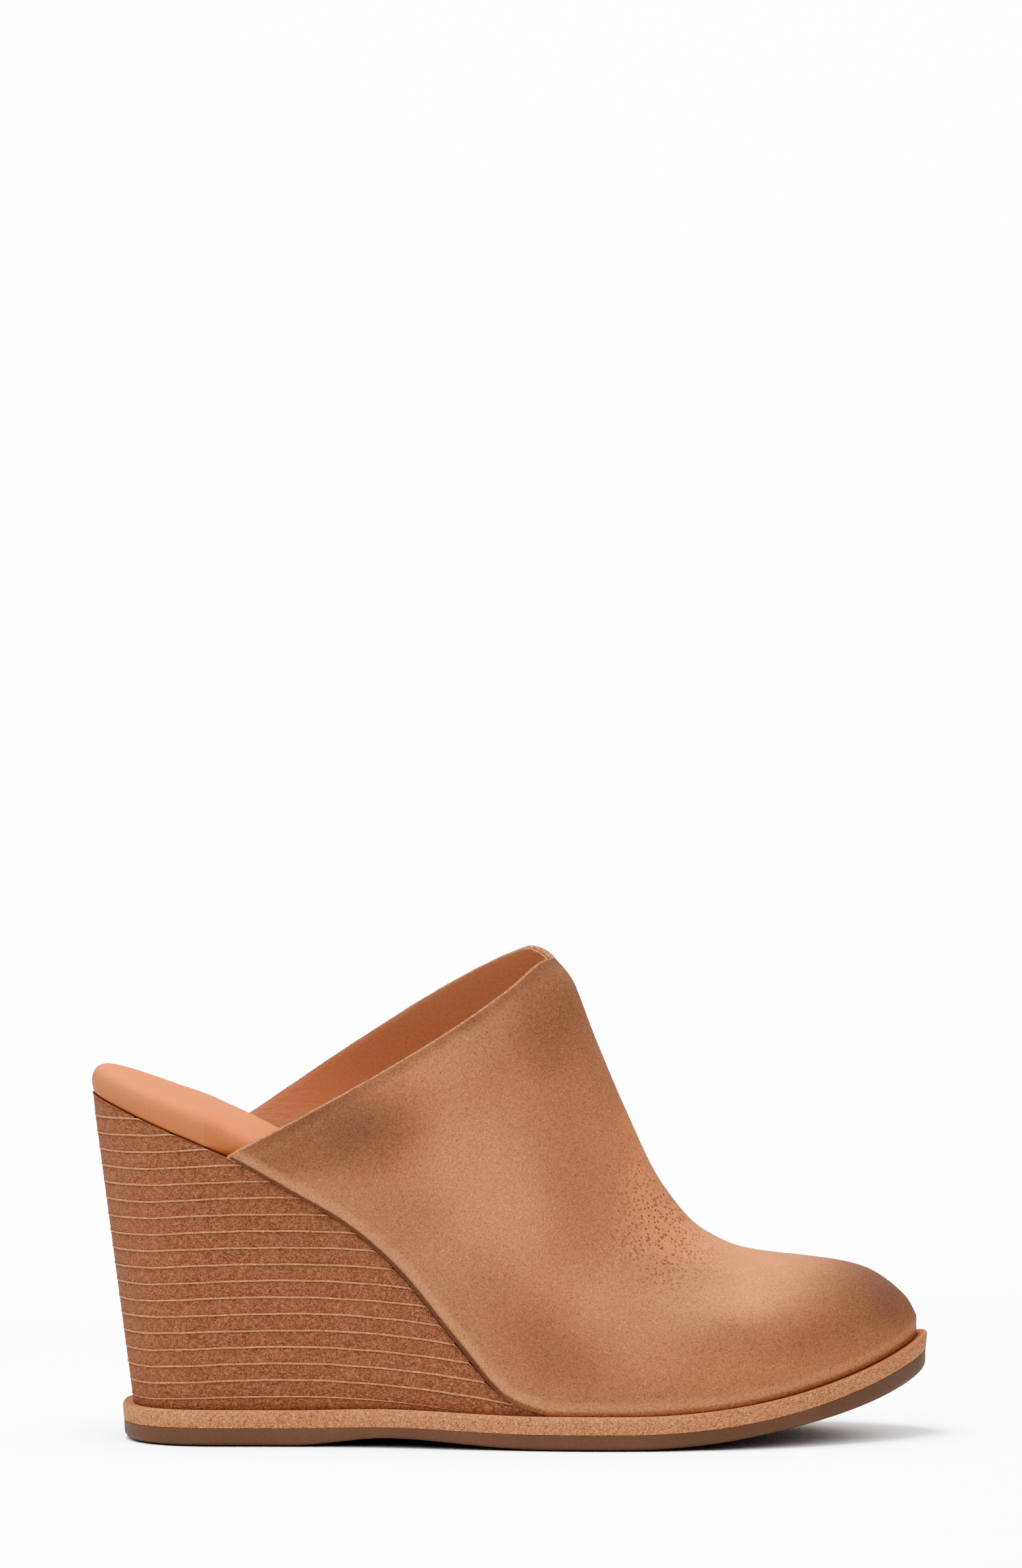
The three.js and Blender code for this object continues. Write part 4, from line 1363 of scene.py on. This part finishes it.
def make_sweep():
    start_clean()
    bpy.ops.mesh.primitive_plane_add(size=PAPER_SIZE, location=(0, 0, UNDER_THE_SHOE))
    floor = named("studio_sweep")
    bpy.ops.object.transform_apply(location=True)
    select_edges(floor, lambda edge: all(vertex.co.y > 0 for vertex in edge.verts))
    bpy.ops.mesh.extrude_region_move(TRANSFORM_OT_translate={"value": (0, 0, PAPER_RISE)})
    leave_edit_mode()
    bend = floor.modifiers.new("Bend", "BEVEL")
    bend.width, bend.segments = PAPER_BEND, 24
    bpy.ops.object.modifier_apply(modifier=bend.name)
    material, tree, shader, place = new_material("white paper", Specular_IOR_Level=0.0, Roughness=1.0)
    paper = blend_colour(tree, vary(tree, place, 3, 0, 1), (0.93, 0.93, 0.93, 1), (0.9, 0.9, 0.9, 1))
    seen = tree.nodes.new("ShaderNodeLightPath").outputs["Is Camera Ray"]
    open_sky = add_node(tree, "ShaderNodeAmbientOcclusion", Distance=SHADOW_REACH).outputs["AO"]
    parts = add_node(tree, "ShaderNodeSeparateXYZ", {"Vector": place})
    far = map_range(tree, parts.outputs["Y"], 0.3, 3.6, 5.0, 26.0)
    bright = work_out(tree, "MULTIPLY", work_out(tree, "POWER", open_sky, 0.8), far)
    tree.links.new(blend_colour(tree, seen, paper, even_grey(tree, bright)), shader.inputs["Base Color"])
    floor.data.materials.append(material)
    smooth(floor, 30)
    print("sweep:", len(floor.data.polygons), "faces")


make_sweep()


# %% Lights
LIT_PLACE = Vector((0, 0, 0.05))


def soft_light(name, place, size, power):
    data = bpy.data.lights.new(name, "AREA")
    data.shape, data.size, data.size_y, data.energy = "RECTANGLE", size[0], size[1], power
    light = bpy.data.objects.new(name, data)
    bpy.context.scene.collection.objects.link(light)
    light.location = place
    light.rotation_euler = (LIT_PLACE - Vector(place)).to_track_quat("-Z", "Y").to_euler()
    print(name, power, "W")


soft_light("overhead", (-0.3, -0.15, 1.45), (0.8, 0.6), 48)
soft_light("key from the left", (-1.0, -1.3, 0.9), (0.9, 0.9), 11)
soft_light("fill from the right", (1.3, -1.3, 0.6), (0.9, 0.9), 4)
soft_light("rim from behind", (0.9, 0.9, 1.0), (0.7, 0.7), 4)

world = bpy.data.worlds.new("studio")
bpy.context.scene.world = world
world.use_nodes = True
backdrop = world.node_tree.nodes["Background"]
backdrop.inputs["Color"].default_value = (1, 1, 1, 1)
seen = world.node_tree.nodes.new("ShaderNodeLightPath").outputs["Is Camera Ray"]
strength = work_out(world.node_tree, "MULTIPLY_ADD", seen, 11.0, 0.5)
world.node_tree.links.new(strength, backdrop.inputs["Strength"])

# %% Camera
IMAGE_HEIGHT = 2380
CAMERA_AWAY, CAMERA_HEIGHT = 2.0, 0.22
FOCAL_PIXELS = 10800
HORIZON_ROW = 991
SENSOR = 36

camera_data = bpy.data.cameras.new("camera")
camera = bpy.data.objects.new("camera", camera_data)
bpy.context.scene.collection.objects.link(camera)
camera_data.sensor_width = SENSOR
camera_data.lens = FOCAL_PIXELS / IMAGE_HEIGHT * SENSOR
camera_data.clip_end = 30
looks_down = math.atan((IMAGE_HEIGHT / 2 - HORIZON_ROW) / FOCAL_PIXELS)
camera.location = (0, -CAMERA_AWAY, CAMERA_HEIGHT)
camera.rotation_euler = (math.pi / 2 - looks_down, 0, 0)
bpy.context.scene.camera = camera
print("lens", round(camera_data.lens, 1), "mm, looking down", round(math.degrees(looks_down), 2), "degrees")
